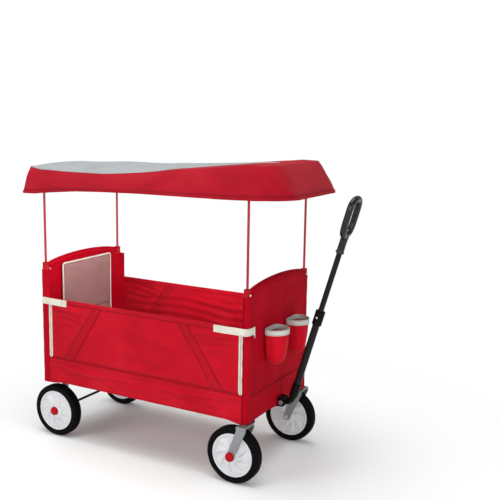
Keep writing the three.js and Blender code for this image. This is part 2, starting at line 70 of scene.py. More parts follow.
# ---------------------------------------------------------------- numbers and points
def metres(mm):
    """millimetres from the tub's centre to metres in the frame"""
    moved = np.asarray(mm, float) / 1000.0
    moved[..., 0] += CENTRE_X
    return moved


def box_mm(node):
    """a node's box (x0, y0, z0, x1, y1, z1) in millimetres from the tub's centre"""
    return [1000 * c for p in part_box(node) for c in (p.x - CENTRE_X, p.y, p.z)]


def clip01(value):
    return np.clip(value, 0, 1)


def ease(value):
    """smooth step from 0 to 1"""
    t = clip01(value)
    return t * t * (3 - 2 * t)


def rounded(value):
    """quarter-circle rise from 0 to 1"""
    return np.sqrt(clip01(1 - (1 - clip01(value)) ** 2))


def bell(offset, width):
    """1 at no offset, falling off on both sides"""
    return np.exp(-(offset / width) ** 2)


def points(*axes):
    """coordinates broadcast together into an array of points"""
    return np.stack(np.broadcast_arrays(*axes), -1)


def turn(n):
    """n angles round a full turn"""
    return np.linspace(0, 2 * PI, n, endpoint=False)


def unit(vector):
    vector = np.asarray(vector, float)
    return vector / max(np.linalg.norm(vector), 1e-9)


def arc_length(path):
    return np.r_[0, np.cumsum(np.linalg.norm(np.diff(path, axis=0), axis=1))]


def wave(x, z, n, length_x, length_z, seed):
    """gentle seeded wrinkles: n plane waves with wavelengths about length_x and length_z"""
    draw = np.random.default_rng(seed)
    out = np.zeros(np.broadcast(x, z).shape)
    for _ in range(n):
        freq_x = 2 * PI / length_x * draw.uniform(0.4, 1.4) * draw.choice([-1, 1])
        freq_z = 2 * PI / length_z * draw.uniform(0.5, 1.5)
        out = out + np.sin(freq_x * x + freq_z * z + draw.uniform(0, 2 * PI)) / n ** 0.5
    return out


def ridge(x, z, line, width):
    """1 along the segment line (x0, z0, x1, z1), easing to 0 at width from it"""
    x0, z0, x1, z1 = line
    dx, dz = x1 - x0, z1 - z0
    t = clip01(((x - x0) * dx + (z - z0) * dz) / (dx * dx + dz * dz))
    distance = np.hypot(x - x0 - t * dx, z - z0 - t * dz)
    return np.sin(clip01(1 - distance / width) * PI / 2) ** 2


# ---------------------------------------------------------------- materials
def rgb(*levels):
    """0 to 255 sRGB to linear"""
    return tuple(c / 12.92 if c <= 0.04045 else ((c + 0.055) / 1.055) ** 2.4
                 for c in (level / 255 for level in levels))


def tint(colour, gain, lift=0):
    return tuple(min(1, c * gain + lift) for c in colour)


class Shader:
    """a new Principled material and short ways to add nodes to it"""
    def __init__(self, name):
        self.material = bpy.data.materials.new(name)
        self.material.use_nodes = True
        self.tree = self.material.node_tree
        self.tree.nodes.clear()
        self.output = self.node("OutputMaterial")
        self.bsdf = self.node("BsdfPrincipled")
        self.link(self.bsdf.outputs[0], self.output.inputs[0])

    def node(self, kind, **settings):
        node = self.tree.nodes.new("ShaderNode" + kind)
        for key, value in settings.items():
            setattr(node, key, value)
        return node

    def link(self, source, target):
        self.tree.links.new(source, target)

    def feed(self, socket, value):
        """a number, a colour or another node's output into a socket"""
        if isinstance(value, (int, float)):
            socket.default_value = value
        elif isinstance(value, tuple):
            socket.default_value = (*value, 1)
        else:
            self.link(value, socket)

    def surface(self, inputs):
        for name, value in inputs.items():
            self.feed(self.bsdf.inputs[name], value)

    def math(self, operation, *values):
        node = self.node("Math", operation=operation)
        for socket, value in zip(node.inputs, values):
            self.feed(socket, value)
        return node.outputs[0]

    def noise(self, vector, scale, detail=3, rough=0.55):
        node = self.node("TexNoise")
        node.inputs["Scale"].default_value = scale
        node.inputs["Detail"].default_value = detail
        node.inputs["Roughness"].default_value = rough
        self.link(vector, node.inputs["Vector"])
        return node.outputs[0]

    def ramp(self, factor, *stops):
        """stops are (position, colour)"""
        node = self.node("ValToRGB")
        elements = node.color_ramp.elements
        while len(elements) < len(stops):
            elements.new(0.5)
        for element, (position, colour) in zip(elements, stops):
            element.position = position
            element.color = (*colour, 1)
        self.link(factor, node.inputs[0])
        return node.outputs[0]

    def mask(self, factor, low, high):
        """black below low to white above high"""
        return self.ramp(factor, (low, (0, 0, 0)), (high, (1, 1, 1)))

    def mix(self, factor, first, second):
        node = self.node("Mix", data_type="RGBA", blend_type="MIX")
        for i, value in ((0, factor), (6, first), (7, second)):
            self.feed(node.inputs[i], value)
        return node.outputs[2]

    def bump(self, height, strength, distance, normal=None):
        node = self.node("Bump")
        node.inputs["Strength"].default_value = strength
        node.inputs["Distance"].default_value = distance
        self.link(height, node.inputs["Height"])
        if normal is not None:
            self.link(normal, node.inputs["Normal"])
        return node.outputs[0]

    def split(self, vector):
        node = self.node("SeparateXYZ")
        self.link(vector, node.inputs[0])
        return node.outputs

    def stretch(self, vector, scale):
        node = self.node("Mapping")
        self.link(vector, node.inputs[0])
        node.inputs["Scale"].default_value = scale
        return node.outputs[0]

    def seam(self):
        """the mesh's seam attribute: seam darkness, and on the side sheets also painted shade in
        fold dips and the skirt crease
        """
        return self.node("Attribute", attribute_name="seam").outputs["Fac"]

    def pointiness(self):
        return self.node("NewGeometry").outputs["Pointiness"]


def weave(s, position, normal, pitch):
    """height of a plain weave, thread pitch in metres, on whichever plane the surface faces"""
    threads = [s.math("SINE", s.math("MULTIPLY", c, PI / pitch)) for c in s.split(position)]
    xy, yz, xz = (s.math("MULTIPLY", threads[i], threads[j]) for i, j in ((0, 1), (1, 2), (0, 2)))
    sharpness = 3.0     # how quickly one plane's weave gives way to the next
    face = [s.math("POWER", s.math("ABSOLUTE", c), sharpness) for c in s.split(normal)]
    total = s.math("ADD", s.math("ADD", face[0], face[1]), s.math("ADD", face[2], 0.001))
    sides = s.math("ADD", s.math("MULTIPLY", face[0], yz), s.math("MULTIPLY", face[1], xz))
    return s.math("DIVIDE", s.math("ADD", s.math("MULTIPLY", face[2], xy), sides), total)


def fabric(name, colour, pitch=0.0011, sheen=0.05, var=0.10, soft=0.25):
    """woven cloth; var is the colour variation, soft the strength of its broad wrinkles"""
    s = Shader(name)
    coords = s.node("TexCoord").outputs
    position = coords["Object"]
    threads = weave(s, position, coords["Normal"], pitch)
    patches = s.noise(position, scale=7.0, detail=4)
    mottle = s.noise(position, scale=60.0)
    fuzz = s.noise(position, scale=900.0, detail=2)
    seam = s.seam()
    col = s.ramp(patches, (0.3, tint(colour, 1 - var * 1.6)), (0.5, colour),
                 (0.72, tint(colour, 1 + var, lift=0.004)))
    # mottling, the gaps between threads, then the seam attribute, each darker than the cloth; on
    # the side sheets that attribute also holds painted shade in fold dips and the skirt crease
    col = s.mix(s.math("MULTIPLY", mottle, 0.22), col, tint(colour, 0.78))
    raised = s.math("MULTIPLY_ADD", threads, 0.5, 0.5)
    gaps = s.math("MULTIPLY", s.math("SUBTRACT", 1.0, raised), 0.22)
    col = s.mix(gaps, col, tint(colour, 0.5))
    col = s.mix(s.math("MULTIPLY", seam, 0.85), col, tint(colour, 0.36))
    # roughness 0.75 to 0.89 with the mottling, a little more on seams
    rough = s.math("MULTIPLY_ADD", mottle, 0.14, 0.82 - 0.07)
    wrinkles = s.noise(s.stretch(position, (1.0, 1.0, 2.6)), scale=16.0, rough=0.5)
    broad = s.bump(wrinkles, strength=soft, distance=0.004)
    grain = s.math("ADD", threads, s.math("MULTIPLY", fuzz, 0.5))
    s.surface({
        "Base Color": col,
        "Roughness": s.math("MULTIPLY_ADD", seam, 0.05, rough),
        "Sheen Weight": sheen,
        "Sheen Roughness": 0.45,
        "Specular IOR Level": 0.07,
        "Normal": s.bump(grain, strength=0.35, distance=0.0004, normal=broad)})
    return s.material


def plastic(name, colour, rough=0.35, grain=260.0, bump=0.12, coat=0.0, scuff=0.12, spec=0.5,
            var=0.06):
    """moulded plastic or rubber; scuff is the spread of its roughness"""
    s = Shader(name)
    position = s.node("TexCoord").outputs["Object"]
    patches = s.noise(position, scale=14.0, detail=4)
    texture = s.noise(position, scale=grain, detail=2)
    edge = s.mask(s.pointiness(), 0.54, 0.64)
    col = s.ramp(patches, (0.3, tint(colour, 1 - var)), (0.7, tint(colour, 1 + var)))
    worn = tint(colour, 1.35, lift=0.012)
    scuffed = s.math("MULTIPLY_ADD", patches, scuff, rough - scuff / 2)
    s.surface({
        "Base Color": s.mix(s.math("MULTIPLY", edge, 0.18), col, worn),
        "Roughness": s.math("ADD", scuffed, s.math("MULTIPLY", edge, 0.08)),
        "Coat Weight": coat,
        "Coat Roughness": 0.15,
        "Specular IOR Level": spec,
        "Normal": s.bump(texture, strength=bump, distance=0.0003)})
    return s.material


def metal(name, colour, metallic=0.9, rough=0.35, brushed=0.2, wear=0.2,
          wear_colour=(0.6, 0.6, 0.6), peel=0.05, spec=0.5):
    """bare or painted metal; brushed is its streaks, wear its edges, peel its orange-peel"""
    s = Shader(name)
    position = s.node("TexCoord").outputs["Object"]
    streaks = s.noise(s.stretch(position, (1, 1, 14)), scale=160.0)
    patches = s.noise(position, scale=12.0, detail=4)
    pits = s.noise(position, scale=420.0, detail=2)
    edge = s.mask(s.pointiness(), 0.5, 0.58)
    col = s.ramp(patches, (0.3, tint(colour, 0.93)), (0.7, tint(colour, 1.06)))
    streaked = s.math("MULTIPLY_ADD", streaks, brushed * 0.5, rough - brushed * 0.25)
    height = s.math("ADD", s.math("MULTIPLY", streaks, brushed), s.math("MULTIPLY", pits, peel * 4))
    s.surface({
        "Base Color": s.mix(s.math("MULTIPLY", edge, wear), col, wear_colour),
        "Metallic": metallic,
        "Specular IOR Level": spec,
        "Roughness": s.math("ADD", streaked, s.math("MULTIPLY", patches, 0.06)),
        "Normal": s.bump(height, strength=0.15, distance=0.0002)})
    return s.material


def webbing(name, colour, axis=0, pitch=0.0016):
    """ribbed webbing or zip tape; axis is the way it runs, pitch its ribs in metres"""
    s = Shader(name)
    position = s.node("TexCoord").outputs["Object"]
    xyz = s.split(position)
    across = xyz[2 if axis == 0 else 0]
    along = s.math("ADD", xyz[axis], s.math("MULTIPLY", xyz[1], 1.0))
    ribs = s.math("SINE", s.math("MULTIPLY", along, 2 * PI / pitch))
    slant = s.math("ADD", across, s.math("MULTIPLY", along, 0.5))
    twill = s.math("SINE", s.math("MULTIPLY", slant, 2 * PI / (pitch * 1.6)))
    height = s.math("ADD", ribs, s.math("MULTIPLY", twill, 0.6))
    mottle = s.noise(position, scale=40.0)
    fuzz = s.noise(position, scale=700.0, detail=2)
    # mottling, ribs, then seams
    col = s.ramp(mottle, (0.3, tint(colour, 0.88)), (0.7, tint(colour, 1.05)))
    col = s.mix(s.math("MULTIPLY_ADD", height, 0.05, 0.08), col, tint(colour, 0.6))
    col = s.mix(s.math("MULTIPLY", s.seam(), 0.5), col, tint(colour, 0.45))
    s.bsdf.inputs["Roughness"].default_value = 0.78     # shows only if the link below is cut
    s.surface({
        "Base Color": col,
        "Roughness": s.math("MULTIPLY_ADD", mottle, 0.16, 0.68),
        "Sheen Weight": 0.2,
        "Normal": s.bump(s.math("ADD", height, fuzz), strength=0.35, distance=0.00035)})
    return s.material


RED_CLOTH = fabric("fabric_red", rgb(188, 12, 34))
# a darker copy of the side red: painted shade on the end covers
END_CLOTH_PAINTED_SHADE = fabric("fabric_red_end_painted_shade", rgb(174, 0, 26), sheen=0.0)
# a lighter copy of the side red: painted light on the front-facing cups
CUP_CLOTH_PAINTED_LIGHT = fabric("fabric_red_cup_painted_light", rgb(200, 10, 34))
CANOPY_RED = fabric("canopy_red", rgb(162, 16, 34), pitch=0.0009, soft=0.12)
CANOPY_GREY = fabric("canopy_grey", rgb(158, 162, 164), pitch=0.0009, soft=0.12, sheen=0.1,
                     var=0.05)
BAND_CLOTH = fabric("fabric_grey", rgb(206, 206, 200), pitch=0.0010, soft=0.15, sheen=0.2,
                    var=0.06)
SEAT_CLOTH = fabric("seat_taupe", rgb(152, 113, 111), pitch=0.0012, var=0.07)
FLOOR_CLOTH = fabric("floor_fabric", rgb(160, 12, 32), pitch=0.0014)
STRAP_WEB = webbing("webbing_cream", rgb(216, 213, 198))
ZIP_TAPE = webbing("zip_tape", rgb(220, 217, 203), axis=2, pitch=0.0012)
PIPING = webbing("piping_cream", rgb(222, 217, 202), axis=2, pitch=0.0011)
RED_PLASTIC = plastic("plastic_red", rgb(164, 0, 18), rough=0.42, spec=0.12)
BLACK_PLASTIC = plastic("plastic_black", rgb(8, 7, 8), rough=0.42, bump=0.3, scuff=0.16, spec=0.1)
WHEEL_WHITE = plastic("wheel_white", rgb(206, 207, 210), rough=0.26, coat=0.1, var=0.02,
                      scuff=0.08)
TYRE_RUBBER = plastic("tyre_rubber", rgb(9, 8, 9), rough=0.6, grain=500.0, bump=0.5, scuff=0.2,
                      spec=0.05, var=0.2)
GRIP_SOFT = plastic("grip_soft", rgb(14, 11, 11), rough=0.24, grain=700.0, spec=0.4)
FRAME_GREY = metal("frame_grey", rgb(132, 134, 136), metallic=0.6, rough=0.36, brushed=0.12,
                   wear=0.25, wear_colour=(0.55, 0.56, 0.57), peel=0.12)
BLACK_TUBE = metal("tube_black", rgb(15, 11, 11), metallic=0.0, rough=0.3, brushed=0.1,
                   wear=0.08, wear_colour=(0.1, 0.1, 0.1), peel=0.12, spec=0.13)
ZINC = metal("fastener_zinc", rgb(205, 206, 205), metallic=1.0, rough=0.3, brushed=0.35)
POLE_RED = metal("pole_red", rgb(160, 2, 40), metallic=0.0, rough=0.3, spec=0.25, brushed=0.05,
                 wear=0.1, wear_colour=(0.5, 0.1, 0.12), peel=0.1)
RED_THREAD = plastic("thread_red", rgb(120, 10, 24), rough=0.7, bump=0.2)
CREAM_THREAD = plastic("thread_cream", rgb(196, 190, 170), rough=0.75, bump=0.2)


# ---------------------------------------------------------------- mesh helpers
def coords(ob):
    return np.array([v.co[:] for v in ob.data.vertices])


def set_coords(ob, co):
    ob.data.vertices.foreach_set("co", co.ravel().astype(np.float32))


def set_seam_and_shade(mesh, seam):
    attribute = mesh.attributes.new("seam", "FLOAT", "POINT")
    attribute.data.foreach_set("value", np.asarray(seam, np.float32).ravel())


def set_smooth(mesh):
    mesh.polygons.foreach_set("use_smooth", np.ones(len(mesh.polygons), bool))


def add_object(name, mesh):
    ob = bpy.data.objects.new(name, mesh)
    bpy.context.scene.collection.objects.link(ob)
    return ob


def make(name, verts, faces, mats, seam=None, slots=None, weld=None, in_mm=True):
    """smooth mesh object; slots are the faces' material numbers, weld a distance in metres"""
    mesh = bpy.data.meshes.new(name)
    verts = metres(verts) if in_mm else np.asarray(verts, float)
    mesh.from_pydata(verts.tolist(), [], [list(map(int, face)) for face in faces])
    for mat in mats if isinstance(mats, list) else [mats]:
        mesh.materials.append(mat)
    if slots is not None:
        mesh.polygons.foreach_set("material_index", np.asarray(slots, np.int32))
    if seam is not None:
        set_seam_and_shade(mesh, seam)
    ob = add_object(name, mesh)
    if weld is not None:
        bm = bmesh.new()
        bm.from_mesh(mesh)
        bmesh.ops.remove_doubles(bm, verts=bm.verts, dist=weld)
        bmesh.ops.dissolve_degenerate(bm, edges=bm.edges, dist=1e-7)
        bm.to_mesh(mesh)
        bm.free()
    set_smooth(mesh)
    mesh.update()
    return ob


def outward(ob):
    bm = bmesh.new()
    bm.from_mesh(ob.data)
    bmesh.ops.recalc_face_normals(bm, faces=bm.faces)
    bm.to_mesh(ob.data)
    bm.free()
    ob.data.update()
    return ob


def quads(count_u, count_v, wrap_u=False, wrap_v=False):
    """faces over a grid of points numbered u * count_v + v"""
    u, v = np.meshgrid(np.arange(count_u if wrap_u else count_u - 1),
                       np.arange(count_v if wrap_v else count_v - 1), indexing="ij")
    u2, v2 = (u + 1) % count_u, (v + 1) % count_v
    corners = (u * count_v + v, u2 * count_v + v, u2 * count_v + v2, u * count_v + v2)
    return np.stack(corners, -1).reshape(-1, 4)


def apply_modifiers(ob):
    graph = bpy.context.evaluated_depsgraph_get()
    mesh = bpy.data.meshes.new_from_object(ob.evaluated_get(graph), preserve_all_data_layers=True,
                                           depsgraph=graph)
    ob.modifiers.clear()
    ob.data = mesh
    mesh.name = ob.name


def thicken(ob, thickness):
    """cloth of this many millimetres, growing away from the side the normals face"""
    solid = ob.modifiers.new("thick", "SOLIDIFY")
    solid.thickness = thickness / 1000
    solid.offset = -1
    solid.use_even_offset = False
    apply_modifiers(ob)
    return ob


def skin(name, rings, mat, loop=False, caps=False, seam=None, weld=None):
    """surface over closed rings of points; loop joins the last ring to the first"""
    rings = np.asarray(rings, float)
    count, n = rings.shape[:2]
    faces = quads(count, n, wrap_u=loop, wrap_v=True).tolist()
    if caps:
        faces += [range(n - 1, -1, -1), range((count - 1) * n, count * n)]
    return outward(make(name, rings.reshape(-1, 3), faces, mat, seam, weld=weld))


def two_sided(count_u, count_v):
    """faces of a grid, of a second grid behind it and of the rim between them"""
    n = count_u * count_v
    front = quads(count_u, count_v).tolist()
    faces = front + [[n + i for i in face[::-1]] for face in front]

    def rim_face(a, b):
        faces.append([a, n + a, n + b, b])
    for u in range(count_u - 1):
        a, b = u * count_v, (u + 1) * count_v
        rim_face(a, b)
        rim_face(b + count_v - 1, a + count_v - 1)
    for v in range(count_v - 1):
        faces.append([v, v + 1, n + v + 1, n + v])
        a = (count_u - 1) * count_v + v
        faces.append([a + 1, a, n + a, n + a + 1])
    return faces


def bead_faces(base, count, n):
    """faces of a small closed tube of count rings of n points starting at vertex base"""
    sides = quads(count, n, wrap_v=True)[:, [0, 3, 2, 1]].tolist()
    ends = [range(n - 1, -1, -1), range((count - 1) * n, count * n)]
    return [[base + i for i in face] for face in sides + ends]


def smooth_path(stations, steps):
    """Catmull-Rom through the stations"""
    P = np.asarray(stations, float)
    Q = np.vstack([2 * P[0] - P[1], P, 2 * P[-1] - P[-2]])
    out = []
    for p0, p1, p2, p3 in zip(Q, Q[1:], Q[2:], Q[3:]):
        for t in np.linspace(0, 1, steps, endpoint=False):
            out.append(0.5 * ((2 * p1) + (p2 - p0) * t + (2 * p0 - 5 * p1 + 4 * p2 - p3) * t * t
                              + (3 * p1 - p0 - 3 * p2 + p3) * t ** 3))
    out.append(P[-1])
    return np.array(out)


def sweep(name, path, section, mat, caps=True):
    """a closed (n, 2) section carried along a path, turning as little as possible"""
    path = np.asarray(path, float)
    tangents = np.gradient(path, axis=0)
    tangents /= np.linalg.norm(tangents, axis=1)[:, None]
    normal = np.array([0, 1, 0.0]) if abs(tangents[0][1]) < 0.9 else np.array([1, 0, 0.0])
    rings = []
    for point, tangent in zip(path, tangents):
        normal = normal - tangent * (normal @ tangent)
        normal /= np.linalg.norm(normal)
        across = np.cross(tangent, normal)
        rings.append(point + section[:, :1] * normal + section[:, 1:] * across)
    return skin(name, rings, mat, caps=caps)


def circle(radius, n):
    return radius * points(np.cos(turn(n)), np.sin(turn(n)))


CORNERS = ((1, 1, 0), (-1, 1, 90), (-1, -1, 180), (1, -1, 270))     # x sign, y sign, start angle


def round_rect(width, height, radius, n, cx=0, cy=0):
    """rectangle with n steps round each corner"""
    out = []
    for sx, sy, start in CORNERS:
        for i in range(n + 1):
            a = math.radians(start + 90 * i / n)
            out.append((cx + sx * (width / 2 - radius) + radius * math.cos(a),
                        cy + sy * (height / 2 - radius) + radius * math.sin(a)))
    return np.array(out)


def lathe(name, profile, mat, centre, axis, n):
    """profile of (radius, distance along the axis) turned about the axis"""
    radius, h = np.asarray(profile, float).T[..., None]
    c, s = radius * np.cos(turn(n)), radius * np.sin(turn(n))
    turned = {"x": (h, c, s), "y": (c, h, s), "z": (c, s, h)}[axis]
    return skin(name, points(*turned) + np.array(centre, float), mat, weld=1e-6)


def prism(name, outline, axis, start, stop, mat, bevel):
    """outline swept along an axis: points are (x, z) for "y", (y, z) for "x" """
    first, second = outline.T
    n = len(outline)

    def layer(h):
        return points(first, h, second) if axis == "y" else points(h, first, second)
    faces = [range(n), [n + i for i in range(n - 1, -1, -1)]]
    faces += [[i, (i + 1) % n, n + (i + 1) % n, n + i] for i in range(n)]
    ob = outward(make(name, np.vstack([layer(start), layer(stop)]), faces, mat))
    soften(ob, bevel, segments=2, angle=35)
    return ob


def soften(ob, width, segments, angle):
    """bevel the sharp edges, unless width is 0, and even the shading"""
    if width:
        bevel = ob.modifiers.new("edge", "BEVEL")
        bevel.width = width / 1000
        bevel.segments = segments
        bevel.limit_method = "ANGLE"
        bevel.angle_limit = math.radians(angle)
    ob.modifiers.new("shade", "WEIGHTED_NORMAL").keep_sharp = True


def join(name, parts):
    """one piece from several, with their modifiers applied"""
    verts, faces, mats, slots, smooth, seams = [], [], [], [], [], []
    offset = 0
    for part in parts:
        if part.modifiers:
            apply_modifiers(part)
        mesh = part.data
        numbers = []
        for mat in mesh.materials:
            if mat not in mats:
                mats.append(mat)
            numbers.append(mats.index(mat))
        for face in mesh.polygons:
            faces.append([offset + i for i in face.vertices])
            slots.append(numbers[face.material_index])
            smooth.append(face.use_smooth)
        seam = np.zeros(len(mesh.vertices), np.float32)
        attribute = mesh.attributes.get("seam")
        if attribute is not None:
            attribute.data.foreach_get("value", seam)
        verts.append(coords(part))
        seams.append(seam)
        offset += len(seam)
    for part in parts:
        bpy.data.objects.remove(part)
    ob = make(name, np.vstack(verts), faces, mats, seam=np.concatenate(seams), slots=slots,
              in_mm=False)
    ob.data.polygons.foreach_set("use_smooth", smooth)
    return ob


# one stitch: half-lengths along it, share of the radius, lift off the cloth in mm
STITCH = ((-1, 0.25, -0.2), (-0.6, 0.9, 0.15), (0, 1, 0.3), (0.6, 0.9, 0.15), (1, 0.25, -0.2))


def stitches(path, normal, mat, pitch=4.2, length=2.9, radius=0.42):
    """a row of thread stitches along a path on a surface with this normal"""
    path = np.asarray(path, float)
    run = arc_length(path)
    n = max(2, int(run[-1] / pitch))
    normal = unit(normal)
    verts, faces = [], []

    def at(s):
        return np.array([np.interp(s, run, path[:, k]) for k in range(3)])
    for i in range(n):
        s = (i + 0.5) * run[-1] / n
        along = unit(at(min(s + 1, run[-1])) - at(max(s - 1, 0)))
        across = unit(np.cross(normal, along))
        faces += bead_faces(len(verts), len(STITCH), 5)
        for place_along, share, lift in STITCH:
            middle = at(s) + along * place_along * length / 2 + normal * lift
            for a in turn(5):
                ray = across * math.cos(a) + normal * math.sin(a)
                verts.append(middle + ray * radius * share)
    return outward(make("stitches", verts, faces, mat))


def place(ob, body, slot, *replaced):
    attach(ob, body)
    if replaced:
        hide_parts(*replaced)
    return ob


def squash_fold(ob):
    """gives the piece its own copy of its mesh"""
    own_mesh(ob)


def shorten(ob):
    """gives the piece its own copy of its mesh, through squash_fold"""
    squash_fold(ob)


# ---------------------------------------------------------------- wheels
WHEELS = (("front", 391.8, 216.5, 4.6), ("rear", -398.7, 201.5, 5.6))      # x, |y|, bore radius
AXLE_Z = 100
# (radius, distance from the mid-plane)
TYRE_WALL = [(77.3, -17.6), (78.5, -18.8), (81.3, -19.3), (83.0, -19.5), (84.2, -18.9),
             (85.4, -19.6), (90, -19.6), (94, -19.0), (96.6, -17.6), (98.2, -15.8)]
# (radius, height above the frame it sits on)
HUB_CAP = [(0, 12.4), (4, 12.3), (8, 11.6), (11.3, 10.2), (13.7, 8.2), (15.3, 5.8), (16.1, 3.4),
           (16.3, 1.9), (15.7, 1.5), (15.7, 1.0), (16.5, 0.8), (16.5, 0.0), (0, 0)]


def tyre(name, centre, body, node):
    """tyre with a centre groove and slanted side grooves"""
    tread = [(99.0 + 1.0 * (1 - (y / 15.0) ** 4), y) for y in np.linspace(-14.6, 14.6, 19)]
    profile = TYRE_WALL + tread + [(r, -y) for r, y in TYRE_WALL[::-1]]
    radius, y = np.array(profile).T[..., None]
    angle = turn(360)
    groove_count = 60
    phase = (angle * groove_count / (2 * PI) + np.abs(y) / 9.0) % 1.0
    slanted = (np.abs(y) > 2.4) & (np.abs(y) < 15) & (phase < 0.24)
    cut = np.where(slanted, 1.1, 0) + np.where(np.abs(y) < 1.7, 0.9, 0)
    radius = radius - cut * (radius > 97)
    P = points(radius * np.cos(angle), y, radius * np.sin(angle)) + np.array(centre)
    place(skin(name, P, TYRE_RUBBER, loop=True), body, "tyre", node)


def rim(name, centre, body, node, bore, side):
    """white disc with a flat ring and soft turbine petals"""
    petals = 9
    angle = turn(360)
    radius = np.r_[bore, bore + 0.8, 8.5, 12, 16, 19.2, 20.4, 21.0, 22.4,
                   np.linspace(24, 67.5, 34), 68.6, 69.6, 70.4, 71.4, 75.6, 76.6, 77.0][:, None]
    # half thickness at each radius
    base = np.interp(
        radius, [bore, 0.8 + bore, 16, 20.4, 21.0, 24, 40, 60, 68.6, 70.4, 71.4, 75.6, 77.0],
        [21.4, 22.0, 22.0, 21.7, 20.2, 18.6, 16.0, 13.6, 12.6, 17.4, 18.0, 18.0, 16.8])

    def face(facing):
        swirl = facing * 1.7 * (np.clip(radius - 22, 0, 60) / 46) ** 0.9 * 0.5 * side
        phase = (angle * petals / (2 * PI) - swirl) % 1.0
        petal = np.where(phase < 0.82, phase / 0.82, (1 - phase) / 0.18)
        petal = ease(petal) * 0.6 + petal * 0.4
        window = ease(clip01((radius - 23) / 7) * clip01((68.6 - radius) / 6))
        height = base + window * (petal * 7.5 - 4.2)
        return points(radius * np.cos(angle), facing * height, radius * np.sin(angle))
    P = np.concatenate([face(1.0), face(-1.0)[::-1]]) + np.array(centre)
    place(skin(name, P, WHEEL_WHITE, loop=True), body, "wheel_white", node)


for side_name, side in SIDES:
    for end_name, x, y, bore in WHEELS:
        tag = f"{end_name}_{side_name}"
        centre = (x, side * y, AXLE_Z)
        tyre(f"tyre_{tag}_look", centre, f"wheel_{tag}", f"tyre_{tag}")
        rim(f"rim_{tag}_look", centre, f"wheel_{tag}", f"rim_{tag}", bore, side)
    for end_name, x, _, _ in WHEELS:
        node = f"hub_cap_{end_name}_{side_name}"
        y = box_mm(node)[1 if side > 0 else 4]
        cap = lathe(f"cap_{end_name}_{side_name}", [(r, side * h) for r, h in HUB_CAP],
                    RED_PLASTIC, (x, y, AXLE_Z), "y", 64)
        body = f"caster_{side_name}" if end_name == "front" else "rear_frame"
        place(cap, body, "plastic_red", node)

# ---------------------------------------------------------------- padded end covers
COVER_YS = np.linspace(-COVER_HALF, COVER_HALF, 121)
COVER_ZS = np.r_[216.0, 217.0, np.linspace(219, 646, 132), SLEEVE_TOP]
# folds in the panel: y0, z0, y1, z1, width, height
COVER_FOLDS = ((-200, 540, -60, 470, 16, 1.4), (200, 540, 70, 480, 18, 1.2),
               (-190, 420, -40, 390, 14, 0.9), (195, 380, 60, 350, 16, 1.0),
               (-150, 640, -10, 600, 22, 1.2), (160, 640, 30, 590, 20, 1.0))
# rolled elastic hem: (radius about the post, z)
ELASTIC = np.array([(13.4, 643.6), (14.1, 643.0), (14.9, 643.8), (15.3, 645.4), (15.3, 647.4),
                    (14.8, 649.0), (14.0, 649.4), (13.4, 648.4)])


def arch(y):
    """height of the end panel's arched top"""
    return 672 + 20 * (1 - (np.abs(y) / COVER_HALF) ** 2) ** 0.8


def hem_rise(y, z):
    """how far the end cover's hem lifts between the posts"""
    return 5 * (1 - clip01(np.abs(y) / 205) ** 6) * clip01(1 - (z - 216) / 60)


def cover_outline(end):
    """level outline (x, y) of the closed tube, as at the front, and its sleeve's point count"""
    wall = box_mm("side_wall_left")
    edge = (wall[3] if end > 0 else -wall[0]) + 0.3      # the sleeve's edge along the side
    a = np.radians(np.linspace(4, 90, 15))
    sleeve = np.vstack([
        [(COVER_X, POST_Y - 7.0), (COVER_X, POST_Y - 1)],
        points(POST_X + (COVER_X - POST_X) * np.cos(a), POST_Y + 16.5 * np.sin(a)),
        [(426.5, 233.05), (edge + 4, 233.05), (edge + 1.2, 232.9), (edge + 0.2, 232.3),
         (edge, 231.4), (edge + 0.2, 230.5), (edge + 1.2, 229.9), (max(edge + 2, 419.6), 229.4),
         (420.6, 226.5), (420.0, 221.0), (419.8, 216.5), (420.1, 211.0), (421.0, 206.0)]])
    outline = np.vstack([points(COVER_X, COVER_YS), sleeve, points(COVER_INNER_X, -COVER_YS),
                         sleeve[::-1] * np.array([1, -1])])
    return outline, len(sleeve)


